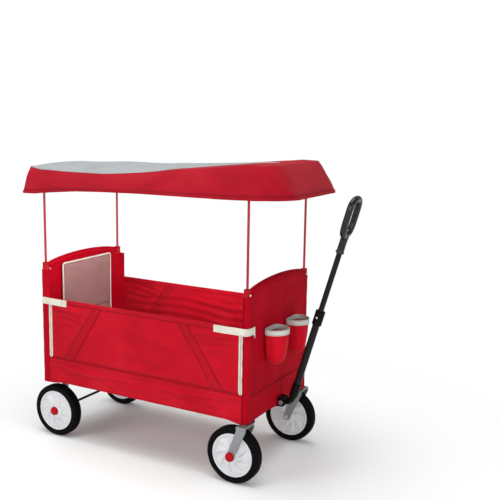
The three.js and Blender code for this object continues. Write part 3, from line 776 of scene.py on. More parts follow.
def cover_tube(end):
    """points and seam darkness of the tube, and which columns are its inner panel"""
    outline, sleeve_count = cover_outline(end)
    n = len(COVER_YS)
    column = np.arange(len(outline))
    outer = column < n
    inner = (column >= n + sleeve_count) & (column < 2 * n + sleeve_count)
    V = points(*outline.T, COVER_ZS[:, None])
    y, z = V[..., 1], V[..., 2]
    z += hem_rise(y, z)
    middle = clip01(1 - (np.abs(y) / 200) ** 4)
    wrinkle = wave(y, z, 7, 150, 70, 11 if end > 0 else 12)
    fold = sum(height * ridge(y, z, line, width) for *line, width, height in COVER_FOLDS)
    # the front cloth lies flatter behind the cup holders
    flat = np.exp(-(((np.abs(y) - 86) / 52) ** 4)) * np.exp(-(((z - 465) / 90) ** 4)) * (end > 0)
    stand = middle * (1.0 + 0.8 * wrinkle + fold) * (1 - 0.85 * flat)
    across = bell(z - 310, 1.6)
    hem = bell(z - 226, 1.4)
    upright = bell(np.abs(y) - 201, 1.3)
    stand = stand - 1.0 * across - 0.7 * hem - 0.9 * upright
    stand = stand + 0.7 * clip01((310 - z) / 3) * middle
    if end > 0:                    # the cloth swells over the handle bracket's foot
        swell = ease((66 - np.abs(y)) / 41) * ease((300 - z) / 43)
        stand = stand * (1 - swell) + swell * (450.6 - COVER_X)
    V[..., 0] += np.where(outer, stand, 0)
    inward = np.clip(0.5 + 0.5 * wrinkle, -0.2, 1.0) * middle
    V[..., 0] -= np.where(inner & (np.abs(y) > 150), np.abs(inward) * 0.9, 0)
    seam = np.where(outer, clip01(across + hem * 0.7 + upright * 0.8),
                    np.where(inner, upright * 0.6, 0))
    # creased sleeves, bulging away from the posts
    crease = np.sin(z / 37.0 + 1.3) * np.sin(z / 11.0)
    bulge = 0.35 * (crease + 1) * ~(outer | inner) * (V[..., 0] > POST_X)
    ray_x, ray_y = V[..., 0] - POST_X, np.abs(y) - POST_Y
    length = np.hypot(ray_x, ray_y) + 1e-9
    V[..., 0] += ray_x / length * bulge
    V[..., 1] += np.sign(y) * ray_y / length * bulge
    return V, seam, inner


def cover_arch(outer_x, inner_x):
    """rings of the padded arched panel above the sleeves, and their seam darkness"""
    rise = np.r_[0, 0.0001, np.linspace(0.04, 0.8, 14), 0.86, 0.9, 0.935, 0.96, 0.98, 0.993,
                 1.0][:, None]
    top = arch(COVER_YS)
    z = SLEEVE_TOP + (top - SLEEVE_TOP) * rise
    share = rounded((top - z) / 12.0) * rounded((COVER_HALF - np.abs(COVER_YS)) / 7)
    share[0] = 1
    mid = (outer_x + inner_x) / 2
    puff = 1 + 0.10 * np.sin(clip01((z - SLEEVE_TOP) / 40) * PI)
    rings = np.hstack([points(mid + (outer_x - mid) * share * puff, COVER_YS, z),
                       points(mid + (inner_x - mid) * share, COVER_YS, z)[:, ::-1]])
    seam = bell(top - z - 15, 1.6) * 0.8
    return rings, np.hstack([seam, seam[:, ::-1]])


def end_cover(name, end, body, node):
    """closed fabric tube round both posts with a padded arched panel above"""
    n = len(COVER_YS)
    V, seam, inner = cover_tube(end)
    rings, arch_seam = cover_arch(V[-1, :n, 0], V[-1, inner, 0][::-1])
    P = np.vstack([V.reshape(-1, 3), rings.reshape(-1, 3)])
    P[:, 0] *= end
    faces = np.vstack([quads(*seam.shape, wrap_v=True),
                       seam.size + quads(*arch_seam.shape, wrap_v=True)])
    ob = make(name, P, faces, END_CLOTH_PAINTED_SHADE, seam=np.r_[seam.ravel(), arch_seam.ravel()], weld=2e-5)
    parts = [thicken(outward(ob), 1.1)]
    radius, z = ELASTIC.T[..., None]
    a = turn(48)
    for side in (-1, 1):
        Q = points(radius * np.cos(a), radius * np.sin(a), z + 0.3 * np.sin(a * 9))
        Q = Q + np.array([end * POST_X, side * POST_Y, 0])
        parts.append(skin("hem", Q, END_CLOTH_PAINTED_SHADE, loop=True))
    y = np.linspace(-COVER_HALF + 1.5, COVER_HALF - 1.5, 90)
    cord = points(end * (COVER_X + COVER_INNER_X) / 2, y, arch(y) + 0.9)
    parts.append(sweep("cord", cord, circle(2.1, 12), RED_CLOTH))
    # level stitching; the front's lowest row leaves out the swell over the bracket's foot
    y = np.linspace(-198, 198, 120)
    for z in (306.5, 313.5, 227.5):
        x = np.interp(y, COVER_YS, V[np.argmin(np.abs(COVER_ZS - z)), :n, 0]) * end
        row = points(x + end * 0.15, y, z + hem_rise(y, z))
        spans = ((-198, -68), (68, 198)) if end > 0 and z < 260 else ((-198, 198),)
        for first, last in spans:
            parts.append(stitches(row[(y >= first) & (y <= last)], (end, 0, 0), RED_THREAD))
    # upright stitching beside the sleeves
    z = np.linspace(220, 642, 140)
    for y in (-204.5, -197.5, 197.5, 204.5):
        if abs(y) > COVER_HALF:
            x = COVER_X + 0.15
        else:
            x = np.interp(z, COVER_ZS, V[:, np.argmin(np.abs(COVER_YS - y)), 0])
        parts.append(stitches(points(end * (x + 0.1), y, z), (end, 0, 0), RED_THREAD))
    place(join(name, parts), body, "fabric_red", node)


end_cover("front_cover", 1, "front_frame", "front_panel")
end_cover("rear_cover", -1, "rear_frame", "rear_panel")

# ---------------------------------------------------------------- long sides
FAR_SEED, SKIRT_SEED, FLAP_SEED = 31, 41, 51
# slanted bands: x of both edges at the top, then at the bottom
BANDS = ((-185, -149, -337, -292), (158, 197, 319, 357))
# folds: x0, z0, x1, z1, width, height
FLAP_FOLDS = ((404, 522, 232, 505, 17, 1.5), (404, 498, 258, 490, 15, 1.3),
              (402, 466, 296, 458, 18, 0.9), (-396, 524, -262, 508, 17, 1.6),
              (-396, 503, -276, 488, 15, 1.4), (-394, 474, -300, 466, 18, 0.9),
              (398, 346, 285, 352, 16, 0.8), (-392, 346, -290, 352, 16, 0.8),
              (-60, 400, 90, 380, 28, 0.9), (-40, 470, 120, 455, 26, 0.8))
SKIRT_FOLDS = ((-400, 296, -150, 272, 11, 1.5), (-330, 276, -60, 284, 12, 1.2),
               (80, 286, 330, 268, 12, 1.3), (402, 298, 180, 282, 10, 1.3),
               (-120, 258, 140, 264, 13, 0.9))
# section (|y|, z) of the tape sewn inside the skirt's top edge
SKIRT_TAPE = ((231.0, 310.2), (229.7, 309.6), (229.0, 310.6), (228.9, 318), (229.0, 325.2),
              (229.25, 325.9), (229.5, 325.2), (229.55, 318.4), (229.6, 316.9), (231.0, 316.6))


def band_edges(z, band):
    top_left, top_right, low_left, low_right = band
    t = np.clip((548 - z) / 230.0, -0.2, 1.2)
    return top_left + (low_left - top_left) * t, top_right + (low_right - top_right) * t


def cloth_relief(x, z, seed, flap, low=0):
    """how far flap or skirt stands off its plane, and how dark its seams are, with painted shade
    added in its fold dips and skirt crease

    low is the height of a flap's bottom edge."""
    drape = wave(x, z, 8, 230, 130, seed) * 0.9 + wave(x, z, 6, 90, 40, seed + 1) * 0.28
    edge = ease(np.minimum(x + 400, 400 - x) / 60)
    # each fold has a rise, a dip below it and painted shade in the dip
    if flap:
        loose = clip01(np.minimum(z - (low + 8), 549 - z) / 35)
        folds, rise, dip, shade = FLAP_FOLDS, 3.3, 1.1, 0.27
        fade = clip01((z - low - 6) / 20)
    else:
        loose = np.clip((z - 216) / 50, 0.5, 1) * clip01((310 - z) / 14)
        folds, rise, dip, shade = SKIRT_FOLDS, 2.4, 0.8, 0.24
        fade = clip01((310 - z) / 10)
    fade = edge ** 0.3 * fade
    relief = 1.9 * drape * edge * loose
    shadow = np.zeros_like(relief)
    for *line, width, height in folds:
        valley = ridge(x, z + 0.95 * width, line, width)
        crest = ridge(x, z, line, width)
        relief = relief + (rise * height * crest - dip * height * valley) * fade
        shadow = np.maximum(shadow, shade * height / 1.5 * valley * fade)
    far = seed == FAR_SEED
    if far:                        # level ripples
        level = z + 7 * np.sin(x / 150.0) + 5 * np.sin(x / 61.0)
        reach = edge * clip01((z - 330) / 40) * clip01((520 - z) / 30)
        relief = relief + 1.5 * np.sin(2 * PI * level / 33) * reach
    if flap:
        groove = bell(z - 531.5, 2.0) + bell(z - 543.5, 1.0) * 0.5
        relief = relief + 1.3 * clip01((z - 531) / 2.2) - 0.6 * groove
        seam = groove * 0.9
        below = z < 530
        for band in BANDS:
            left, right = band_edges(z, band)
            gap = np.minimum(np.abs(x - left), np.abs(x - right))
            inside = (x > left) & (x < right) & below
            border = bell(gap, 2.6) * below
            relief = relief + 1.7 * clip01(gap / 2.0) * inside - 1.3 * border
            seam = np.maximum(seam, np.maximum(border, (0.34 if far else 0.2) * inside))
        bottom = bell(z - (low + 3.5), 2.6)
        relief = relief - 0.5 * bottom
        seam = np.maximum(seam, bottom * 0.8)
    else:
        top = bell(z - 314.5, 2.2)
        crease = bell(z - 299 - 3 * np.sin(x / 90.0), 2.6)
        crease = crease * clip01(0.5 + 0.6 * np.sin(x / 61.0 + 1))
        hem = bell(z - 229, 1.2)
        relief = relief - 0.5 * top - 0.8 * crease - 0.5 * hem + 0.5 * (z < 228)
        # the crease's share is painted shade in the crease; top and hem are seam lines
        seam = clip01(top * 0.8 + hem * 0.7 + crease * 0.3)
    # seam darkness raised to the painted shade in the fold dips
    return relief, np.maximum(seam, shadow)


def on_flap(x, z):
    """|y| of the near flap's outer surface"""
    relief, _ = cloth_relief(x, z, FLAP_SEED, True, JOINT_Z)
    return CLOTH_Y + np.clip(relief, -0.4, 9)


def hem_z(x, x0, x1):
    """the skirt's hem: lifted between the posts and dropping at each end"""
    return 216.3 + 7.5 * ease(np.minimum(x - x0, x1 - x) / 75.0)


def side_stitch_lines(kind, x0, x1):
    """(x, z) of each row of stitches"""
    x = np.linspace(x0 + 6, x1 - 22, 260)
    lines = []
    if kind != "skirt":
        lines += [(x, np.full_like(x, 533.5)), (x, np.full_like(x, 544.5))]
        z = np.linspace(529, 324, 84)
        for band in BANDS:
            left, right = band_edges(z, band)
            lines += [(q, z) for inset in (2.8, 6.5) for q in (left + inset, right - inset)]
        lines.append((x, np.full_like(x, 328.5)))
    if kind != "flap":
        lines += [(x, np.full_like(x, 304.5)), (x, hem_z(x, x0, x1) + 8.0)]
    return lines


def side_sheet(name, side, node, body, seed, kind, inner_y, overlap=0.0):
    """cloth wall; kind is "flap", "skirt" or "both", overlap lengthens its rear end"""
    node_x0, _, z0, x1, _, z1 = box_mm(node)
    x0 = node_x0 - overlap
    nx = int((x1 - x0) / 3.0)
    nz = int((z1 - z0) / 2.2)
    xs = np.linspace(x0, x1, nx)
    X, T = np.meshgrid(xs, np.linspace(0, 1, nz), indexing="ij")
    bottom = hem_z(X, x0, x1) if kind != "flap" else z0
    Z = bottom + (z1 - bottom) * T
    if kind != "skirt":            # the top edge sags a little
        Z = Z + (T ** 3) * (-1.8 * np.sin(clip01((X + 400) / 806) * PI))
    if kind == "both":
        # seam darkness here also carries painted shade in the fold dips and the skirt crease
        flap_relief, flap_seam_and_shade = cloth_relief(X, Z, seed, True, JOINT_Z)
        skirt_relief, skirt_seam_and_shade = cloth_relief(X, Z, seed, False)
        blend = clip01((Z - 314) / 8)
        joint = bell(Z - JOINT_Z, 1.3)
        relief = flap_relief * blend + skirt_relief * (1 - blend)
        seam = np.maximum(flap_seam_and_shade * blend + skirt_seam_and_shade * (1 - blend), joint)
    else:
        relief, seam = cloth_relief(X, Z, seed, kind == "flap", z0)
        joint = 0
    to_edge = np.minimum(np.minimum(X - x0, x1 - X), np.minimum(Z - bottom, z1 - Z))
    half = (CLOTH_Y - inner_y) / 2 * rounded(to_edge / 1.6)
    mid = (CLOTH_Y + inner_y) / 2
    # nothing stands inward where the front sleeve comes in behind when folded
    clear = clip01((x1 - 24 - X) / 10)
    hem = 0.9 * clip01((Z - 531) / 2.2) * clear if kind != "skirt" else 0
    outer = mid + half + np.clip(relief - 0.7 * joint, -0.4, 9)
    inner = mid - half + np.clip(0.8 * relief - 0.7 * joint, -6 * clear, 9) * 0.9 - hem
    # flap and skirt thin out towards the line they swing about
    room = {"flap": (Z - z0) * 0.2, "skirt": (z1 - Z) * 0.3, "both": 99.0}[kind]
    outer = np.minimum(outer, 231.4 + room)
    inner = np.minimum(inner, outer - 0.9 * rounded(to_edge / 1.6) - 0.05)
    verts = np.vstack([points(X, side * Y, Z).reshape(-1, 3) for Y in (outer, inner)])
    parts = [outward(make(name, verts, two_sided(nx, nz), RED_CLOTH,
                          seam=np.r_[seam.ravel(), seam.ravel() * 0.8]))]

    def on_cloth(line_x, line_z, surface, lift):
        columns = np.clip(np.searchsorted(xs, line_x), 1, nx - 1)
        return [(x, side * (np.interp(z, Z[i], surface[i]) + lift), z)
                for x, z, i in zip(line_x, line_z, columns)]
    for x, z in side_stitch_lines(kind, x0, x1):
        parts.append(stitches(on_cloth(x, z, outer, 0.1), (0, side, 0), RED_THREAD))
        if kind != "skirt":
            parts.append(stitches(on_cloth(x, z, inner, -0.1), (0, -side, 0), RED_THREAD))
    if kind == "skirt":            # tape behind the joint with the flap
        rings = [[(x, side * (y + 0.12 * math.sin(x / 31.0)), z) for y, z in SKIRT_TAPE]
                 for x in np.linspace(x0 + 16, x1 - 20, 120)]
        parts.append(skin("tape", rings, RED_CLOTH, caps=True))
    ob = place(join(name, parts), body, "fabric_red", node)
    shorten(ob)


side_sheet("side_wall_far", 1, "side_wall_left", "rear_frame", FAR_SEED, "both", inner_y=230.4,
           overlap=0.2)
side_sheet("side_skirt_near", -1, "side_skirt_right", "rear_frame", SKIRT_SEED, "skirt",
           inner_y=230.6)
side_sheet("side_flap_near", -1, "side_flap_right", "side_flap", FLAP_SEED, "flap",
           inner_y=230.4)

# ---------------------------------------------------------------- zips and straps
ZIP_LOW, ZIP_TOP = 318.5, 543.5
ZIP_HALF = 7.4                     # half the width of both tapes together
TOOTH_PITCH = 1.6
TOOTH = ((-2.6, 0.45), (-1.9, 0.62), (0.9, 0.62), (1.5, 0.4))     # (offset along x, radius)


def zipper(name, cx, body, node, lean):
    """upright zip on the near side; lean is how far its foot curves along x"""
    def line_x(z):
        return cx + lean * clip01((345 - z) / 27) ** 2

    def tape(u0, u1):
        z = np.linspace(ZIP_LOW, ZIP_TOP, 120)[:, None]
        u = np.linspace(u0, u1, 5)
        half = ZIP_HALF * rounded((z - ZIP_LOW) / 9)
        y = -(CLOTH_Y + 0.18 * np.sin(z / 9.0 + u0) + 0.12 * np.abs(u) / 6)
        P = points(line_x(z) + np.clip(u, -half, half), y, z)
        faces = quads(*P.shape[:2])[:, ::-1]
        return thicken(make("tape", P.reshape(-1, 3), faces, ZIP_TAPE), 0.9)
    parts = [tape(-ZIP_HALF, -1.2), tape(1.2, ZIP_HALF)]
    # the coil, its teeth reaching to alternate sides
    verts, faces = [], []
    a = turn(8)
    for i in range(int((ZIP_TOP - ZIP_LOW - 12) / TOOTH_PITCH)):
        z = ZIP_LOW + 8 + i * TOOTH_PITCH
        faces += bead_faces(len(verts), len(TOOTH), len(a))
        for u, r in TOOTH:
            x = line_x(z) + (u if i % 2 else -u)
            verts.extend(points(x, -(233.55 + r * 0.9 * np.cos(a)), z + r * np.sin(a)))
    parts.append(outward(make("coil", verts, faces, CREAM_THREAD)))
    for x in (-6.5, 6.5):
        z = np.linspace(ZIP_LOW + 8, ZIP_TOP - 3, 70)
        parts.append(stitches(points(cx + x, -233.25, z), (0, -1, 0), CREAM_THREAD, radius=0.3))
    slider_z = 530.0
    slider = round_rect(8.6, 11, 2.5, 4, cx, slider_z)
    pull = round_rect(4.6, 16, 2.0, 4, cx, slider_z - 11)
    parts.append(prism("slider", slider, "y", -236.2, -233.2, ZIP_TAPE, bevel=0.6))
    parts.append(prism("pull", pull, "y", -237.3, -236.3, ZINC, bevel=0.3))
    place(join(name, parts), body, "webbing_cream", node)


zipper("zip_front", 419.0, "front_frame", "zipper_front", lean=1.5)
zipper("zip_rear", -400.0, "rear_frame", "zipper_rear", lean=-1.0)


def strap(name, end, flap_x, node):
    """webbing from the near flap round the corner sleeve to the end panel"""
    # along the flap, lying on its highest ripples
    flap_run = np.linspace(flap_x, 402, 40) if end > 0 else np.linspace(flap_x, -386, 34)
    stand = on_flap(flap_run, np.linspace(523, 546, 7)[:, None]).max(0)
    averaged = np.convolve(np.pad(stand, 2, "edge"), np.ones(5) / 5, "valid")
    stand = np.maximum(stand, averaged) + 1.15
    # on to the post, round the sleeve, then along the end panel
    last = abs(flap_run[-1])
    post_run = np.linspace(last + 4, 430, 8)
    post_y = -stand[-1] + (-235.2 + stand[-1]) * (post_run - last) / (POST_X - last)
    a = np.radians(np.linspace(-88, -2, 16))
    tail = np.linspace(-214, -189, 10)
    x = np.r_[flap_run, end * post_run, end * (POST_X + (COVER_X - POST_X + 2.0) * np.cos(a)),
              end * (COVER_X + 1.95 + 0.1 * np.sin(tail))]
    y = np.r_[-stand, post_y, -POST_Y + 18.6 * np.sin(a), tail]
    P = points(x, y, 534.5 + 0.5 * np.sin(x / 47.0))
    parts = [sweep("web", P, round_rect(1.5, 25.0, 0.7, 3), STRAP_WEB)]
    # doubled end, stitched in a crossed box
    Q = P[np.abs(x - flap_x) < 28] + np.array([0, -1.5, 0])
    parts.append(sweep("end", Q, round_rect(1.3, 24.2, 0.6, 3), STRAP_WEB))
    Q = Q[np.argsort(Q[:, 0])]
    left, right = sorted((flap_x + end * 3, flap_x + end * 25))
    low, high = 524.5, 544.5
    corners = ((left, low), (right, low), (right, high), (left, high))
    for i, j in ((0, 1), (1, 2), (2, 3), (3, 0), (0, 2), (3, 1)):
        row_x, row_z = np.linspace(corners[i], corners[j], 16).T
        row = points(row_x, np.interp(row_x, Q[:, 0], Q[:, 1]) - 0.72, row_z)
        parts.append(stitches(row, (0, -1, 0), CREAM_THREAD, pitch=3.0, length=2.1, radius=0.35))
    # turned end on the end panel, with a small pull ring
    parts.append(prism("turn", round_rect(6.5, 31, 1.2, 4, -190.5, 531.5), "x",
                       end * (COVER_X + 1.1), end * (COVER_X + 3.4), STRAP_WEB, bevel=0.5))
    a = turn(28)
    ring = points(end * (COVER_X + 3.2), -190.5 + 4.6 * np.cos(a), 514.5 + 5.6 * np.sin(a))
    parts.append(sweep("ring", np.vstack([ring, ring[:1]]), circle(0.9, 10), ZINC))
    ob = place(join(name, parts), "side_flap", "webbing_cream", node)
    # the strap gets its own copy of its mesh
    squash_fold(ob)


strap("strap_front_look", 1, 317.0, "strap_front")
strap("strap_rear_look", -1, -317.0, "strap_rear")

# ---------------------------------------------------------------- cup holders
CUP_X, CUP_Y = 470.5, 80.0
CUP_BACK_X = COVER_X + 0.7         # where the pocket is sewn to the end panel
CUP_LOW = 400


def cup(side_name, side):
    """pocket on the front panel, round in front and flat behind, with a band at its mouth"""
    n = 128
    a = turn(n)
    phase = np.random.default_rng(60 + side).uniform(0, 6, 4)
    back = clip01(-np.cos(a))
    order = np.argsort(np.where(a < PI, a, a - 2 * PI))

    def outline(radius, wrinkle=0.0, inset=0.0):
        flat = CUP_BACK_X + inset
        corner = 6.0               # rounds the corner where the pocket meets the panel
        x = CUP_X + (radius + wrinkle) * np.cos(a)
        x = flat + np.logaddexp(0, (x - flat) / corner) * corner
        y = (radius + wrinkle) * np.sin(a) * (1 + 0.02 * back)
        return x, side * CUP_Y + y

    def layer(z, inner):
        t = (z - CUP_LOW) / 104.2
        belly = math.sin(min(max(t, 0), 1) * PI)
        radius = 30 + 14.5 * clip01(t) ** 0.9 + 3.0 * belly
        radius = radius - 13 * (1 - rounded((z - CUP_LOW) / 20))
        wrinkle = (0.7 * np.sin(3 * a + phase[0] + t * 2) + 0.5 * np.sin(7 * a + phase[1] - t * 3)
                   + 0.35 * np.sin(11 * a + phase[2] + t * 4)) * (0.35 + 1.1 * belly)
        # height, angle in half turns, its drift up the pocket, and width of each slanting fold
        for height, angle, drift, width in ((-2.2, 1.34, -0.16, 0.16), (1.6, 1.46, -0.2, 0.14),
                                            (-1.2, 0.6, 0.1, 0.15)):
            wrinkle = wrinkle + height * bell(a - PI * (angle + drift * t), width) * belly
        wall = 1.3 if inner else 0
        x, y = outline(radius - wall, wrinkle * (back < 0.6), wall)
        return points(x, y, z)
    zs = np.linspace(402.0, 504.4, 46)
    rings = [layer(z, False) for z in zs] + [layer(max(z, 404), True) for z in zs[::-1]]
    first, last = rings[0], rings[-1]
    centre, inner_centre = first.mean(0), last.mean(0)
    # closed below outside and inside: (share of the ring's size, drop)
    base = [centre + (first - centre) * share + np.array([0, 0, dz])
            for share, dz in ((0.0, -1.2), (0.45, -1.3), (0.75, -1.6), (0.93, -1.2))]
    floor = [inner_centre + (last - inner_centre) * share for share in (0.9, 0.5, 0.0)]
    rings = np.array(base + rings + floor)
    x, z = rings[..., 0], rings[..., 2]
    seam = bell(z - 408, 1.4) * 0.8 + bell(x - CUP_BACK_X - 3.2, 1.3) * 0.8 * (z > 403)
    parts = [skin("cup", rings, CUP_CLOTH_PAINTED_LIGHT, seam=clip01(seam), weld=1e-5)]
    row = layer(410, False)[order]
    row = row[row[:, 0] > CUP_BACK_X + 4]
    ray = row - np.array([CUP_X, side * CUP_Y, 410])
    row = row + ray / np.linalg.norm(ray, axis=1)[:, None] * 0.15
    parts.append(stitches(row, (0, 0, 1), RED_THREAD, radius=0.3))
    place(join(f"cup_{side_name}", parts), "front_frame", "fabric_red",
          f"cup_holder_{side_name}")

    # elastic band round the mouth, its ends sewn to the panel: (offset from its radius, z)
    steps = np.linspace(0, 1, 13)
    profile = [(0.35 * math.sin(t * PI) - 0.3, 504.9 + 18.6 * t) for t in steps]
    profile += [(-0.9, 523.9), (-1.9, 524.0), (-2.6, 523.4)]
    profile += [(-2.8, 523.4 - 18.4 * t) for t in steps[1:-1]]
    profile += [(-2.5, 504.8), (-1.3, 504.6)]

    def wobble(z):
        return (0.35 * np.sin(5 * a + phase[0]) + 0.2 * np.sin(9 * a + z / 9)) * (back < 0.5)
    rings = []
    for offset, z in profile:
        inset = (-offset - 0.3) * 0.9 if offset < -0.8 else 0
        x, y = outline(47.5 + offset, wobble(z), inset)
        rings.append(points(x, y, z + 0.5 * np.sin(2 * a + phase[3])))
    z = np.array(profile)[:, 1]
    seam = np.repeat(clip01(bell(z - 507.6, 0.9) + bell(z - 521.2, 0.9)), n)
    parts = [skin("rimband", rings, BAND_CLOTH, loop=True, seam=seam)]
    for z in (507.4, 521.4):
        row = points(*outline(47.65, wobble(z)), z)[order]
        row = row[row[:, 0] > CUP_BACK_X + 5]
        parts.append(stitches(row, (0, 0, 1), CREAM_THREAD, pitch=4.0, radius=0.28))
    place(join(f"cup_band_{side_name}", parts), "front_frame", "fabric_grey",
          f"cup_rim_{side_name}")


for side_name, side in SIDES:
    cup(side_name, side)

# ---------------------------------------------------------------- canopy
CANOPY_HALF = 191                  # half width between the top's side seams
# heights along the canopy: x row, z row
TOP_SEAM = ((-527, -474, -330, -173, -16, 150, 306, 418, 505),
            (1028, 1019, 1017, 1018, 1030, 1050, 1066, 1078, 1079))
HEM = ((-522, -450, -378, -261, -148, 25, 187, 341, 451, 500, 575),
       (936, 938, 947, 958, 963, 967.5, 969, 970, 972.5, 975, 975))
CREST = ((-527, -492, -295, -64, 110, 194, 315, 430, 505),
         (1036, 1040, 1046, 1052, 1059, 1064, 1071, 1079, 1080))
# half width of the grey top panel: x row, |y| row
GREY_EDGE = ((-527, -60, 60, 150, 240, 330, 400, 440), (191, 191, 186, 165, 130, 85, 40, 0))


def canopy_outline(half, rear_x, front_x, front_r, rear_r, stations):
    """rounded rectangle seen from above, sampled at stations counted in its corner points"""
    out = []
    for sx, sy, start in CORNERS:
        radius = front_r if sx > 0 else rear_r
        cx, cy = (front_x if sx > 0 else rear_x) - sx * radius, sy * (half - radius)
        for i in range(13):
            a = math.radians(start + 90 * i / 12)
            out.append((cx + radius * math.cos(a), cy + radius * math.sin(a)))
    out = np.array(out + out[:1])
    return np.stack([np.interp(stations, np.arange(len(out)), c) for c in out.T], 1)


def canopy_surface():
    """rings from the hem up to the seam and in over the top, their level and the ring stations

    Level runs from 1 at the hem to 0 at the seam, then to -1 at the middle of the top."""
    stations = []
    for i in range(52):            # 12 spans round each corner, then one straight
        steps = 4 if i % 13 != 12 else (120 if (i // 13) % 2 == 0 else 46)
        stations += list(np.linspace(i, i + 1, steps, endpoint=False))
    stations = np.array(stations)
    hem = canopy_outline(243, -522, 574, 122, 26, stations)
    seam = canopy_outline(CANOPY_HALF, -527, 505, 48, 18, stations)
    down = 1 - np.linspace(0, 1, 34)
    xy = seam + (hem - seam) * down[:, None, None]
    seam_z, hem_height = np.interp(seam[:, 0], *TOP_SEAM), np.interp(hem[:, 0], *HEM)
    flare = np.interp(seam[:, 0], [-200, 200], [1.45, 1.22])
    valance = points(xy[..., 0], xy[..., 1],
                     seam_z - (seam_z - hem_height) * down[:, None] ** flare)
    inward = np.linspace(0, 1, 36)[1:]
    spine = points(np.clip(seam[:, 0], -340, 320), 0)
    x, y = np.moveaxis(seam + (spine - seam) * inward[:, None, None], -1, 0)
    crest_z = np.interp(x, *CREST)
    fall = (crest_z - np.interp(x, *TOP_SEAM)) * clip01(np.abs(y) / CANOPY_HALF) ** 2.3
    P = np.concatenate([valance, points(x, y, crest_z - fall)])
    level = np.r_[down, -inward][:, None]

    # wrinkles; X and Y stay views of P
    X, Y = P[..., 0], P[..., 1]
    drop = clip01(level)
    long_wave = wave(X, Y * 2, 8, 330, 420, 71)
    short_wave = wave(X, P[..., 2] * 2, 6, 120, 160, 72)
    sideways = clip01((np.abs(Y) - 150) / 40)
    amount = np.sin(drop * PI * 0.8)
    P[..., 2] += 1.6 * long_wave * clip01(-level * 4)
    P[..., 1] += np.sign(Y) * amount * (1.4 * long_wave + 0.9 * short_wave) * sideways
    P[..., 0] += np.sign(X) * amount * 1.2 * short_wave * (1 - sideways)

    def corner_creases(k):
        """soft folds from each top corner; k is 0 at the seam and 1 at the hem"""
        centres = (39 + 12 * (0.15 + 0.72 * k), 12 - 12 * (0.15 + 0.72 * k),
                   38 - 12 * (0.3 + 0.3 * k), 13 + 12 * (0.3 + 0.3 * k))
        return np.maximum.reduce([bell(stations - c, 1.5) for c in centres])
    crease = np.zeros(P.shape[:2])
    crease[:len(down)] = [corner_creases(k) * math.sin(min(k * 1.25, 1) * PI * 0.5) ** 0.7
                          for k in down]
    away = hem - seam
    away = away / np.linalg.norm(away, axis=1)[:, None]
    P[..., 0] += crease * away[None, :, 0] * 3.2
    P[..., 1] += crease * away[None, :, 1] * 3.2
    for pole_x in (POST_X, -POST_X):       # the cloth peaks over the poles
        P[..., 2] += 3.0 * bell(np.hypot(X - pole_x, np.abs(Y) - POST_Y), 22)
    return P, level, len(down) - 1


def canopy():
    P, level, seam_row = canopy_surface()
    X, Y = P[..., 0], P[..., 1]
    drop = clip01(level)
    # grey panel: bounded by the side seams, closing to a point at the front
    limit = np.interp(X, *GREY_EDGE, left=CANOPY_HALF, right=-1)
    grey = (level <= 1e-9) & (np.abs(Y) <= limit + 1e-6)
    faces = quads(*P.shape[:2], wrap_v=True)
    grey_faces = grey.reshape(-1)[faces].sum(1) >= 3
    to_seam = np.where(level <= 0, np.minimum(np.abs(np.abs(Y) - limit), 50), drop * 60)
    seam = clip01(bell(to_seam, 2.2)) * 0.7
    seam = np.maximum(seam, np.exp(-((1 - drop) * 60 - 4.5) ** 2 / 3) * 0.7)
    ob = make("canopy_sheet", P.reshape(-1, 3), faces, [CANOPY_RED, CANOPY_GREY], seam=seam,
              slots=grey_faces.astype(int), weld=1e-5)
    parts = [thicken(outward(ob), 1.6)]
    # bound hem, corded side seams and the hem's stitching
    hem = np.vstack([P[0], P[0][:1]]) + np.array([0, 0, 1.2])
    parts.append(sweep("binding", hem, round_rect(3.4, 9.0, 1.4, 3), CANOPY_RED, caps=False))
    edge, row = P[seam_row], P[1]
    for side in (-1, 1):
        cord = edge[(edge[:, 1] * side > 150) & (edge[:, 0] < 70)]
        cord = cord[np.argsort(cord[:, 0])]
        parts.append(sweep("seam", smooth_path(cord[::4], 3), circle(1.1, 8), CANOPY_RED))
        line = row[row[:, 1] * side > 200]
        line = line[np.argsort(line[:, 0])] + np.array([0, side * 1.6, 6])
        parts.append(stitches(line, (0, side, 0.5), RED_THREAD, pitch=4.5, radius=0.35))
    ob = place(join("canopy_look", parts), "canopy_rear", "fabric_red", "canopy")
    shorten(ob)


canopy()


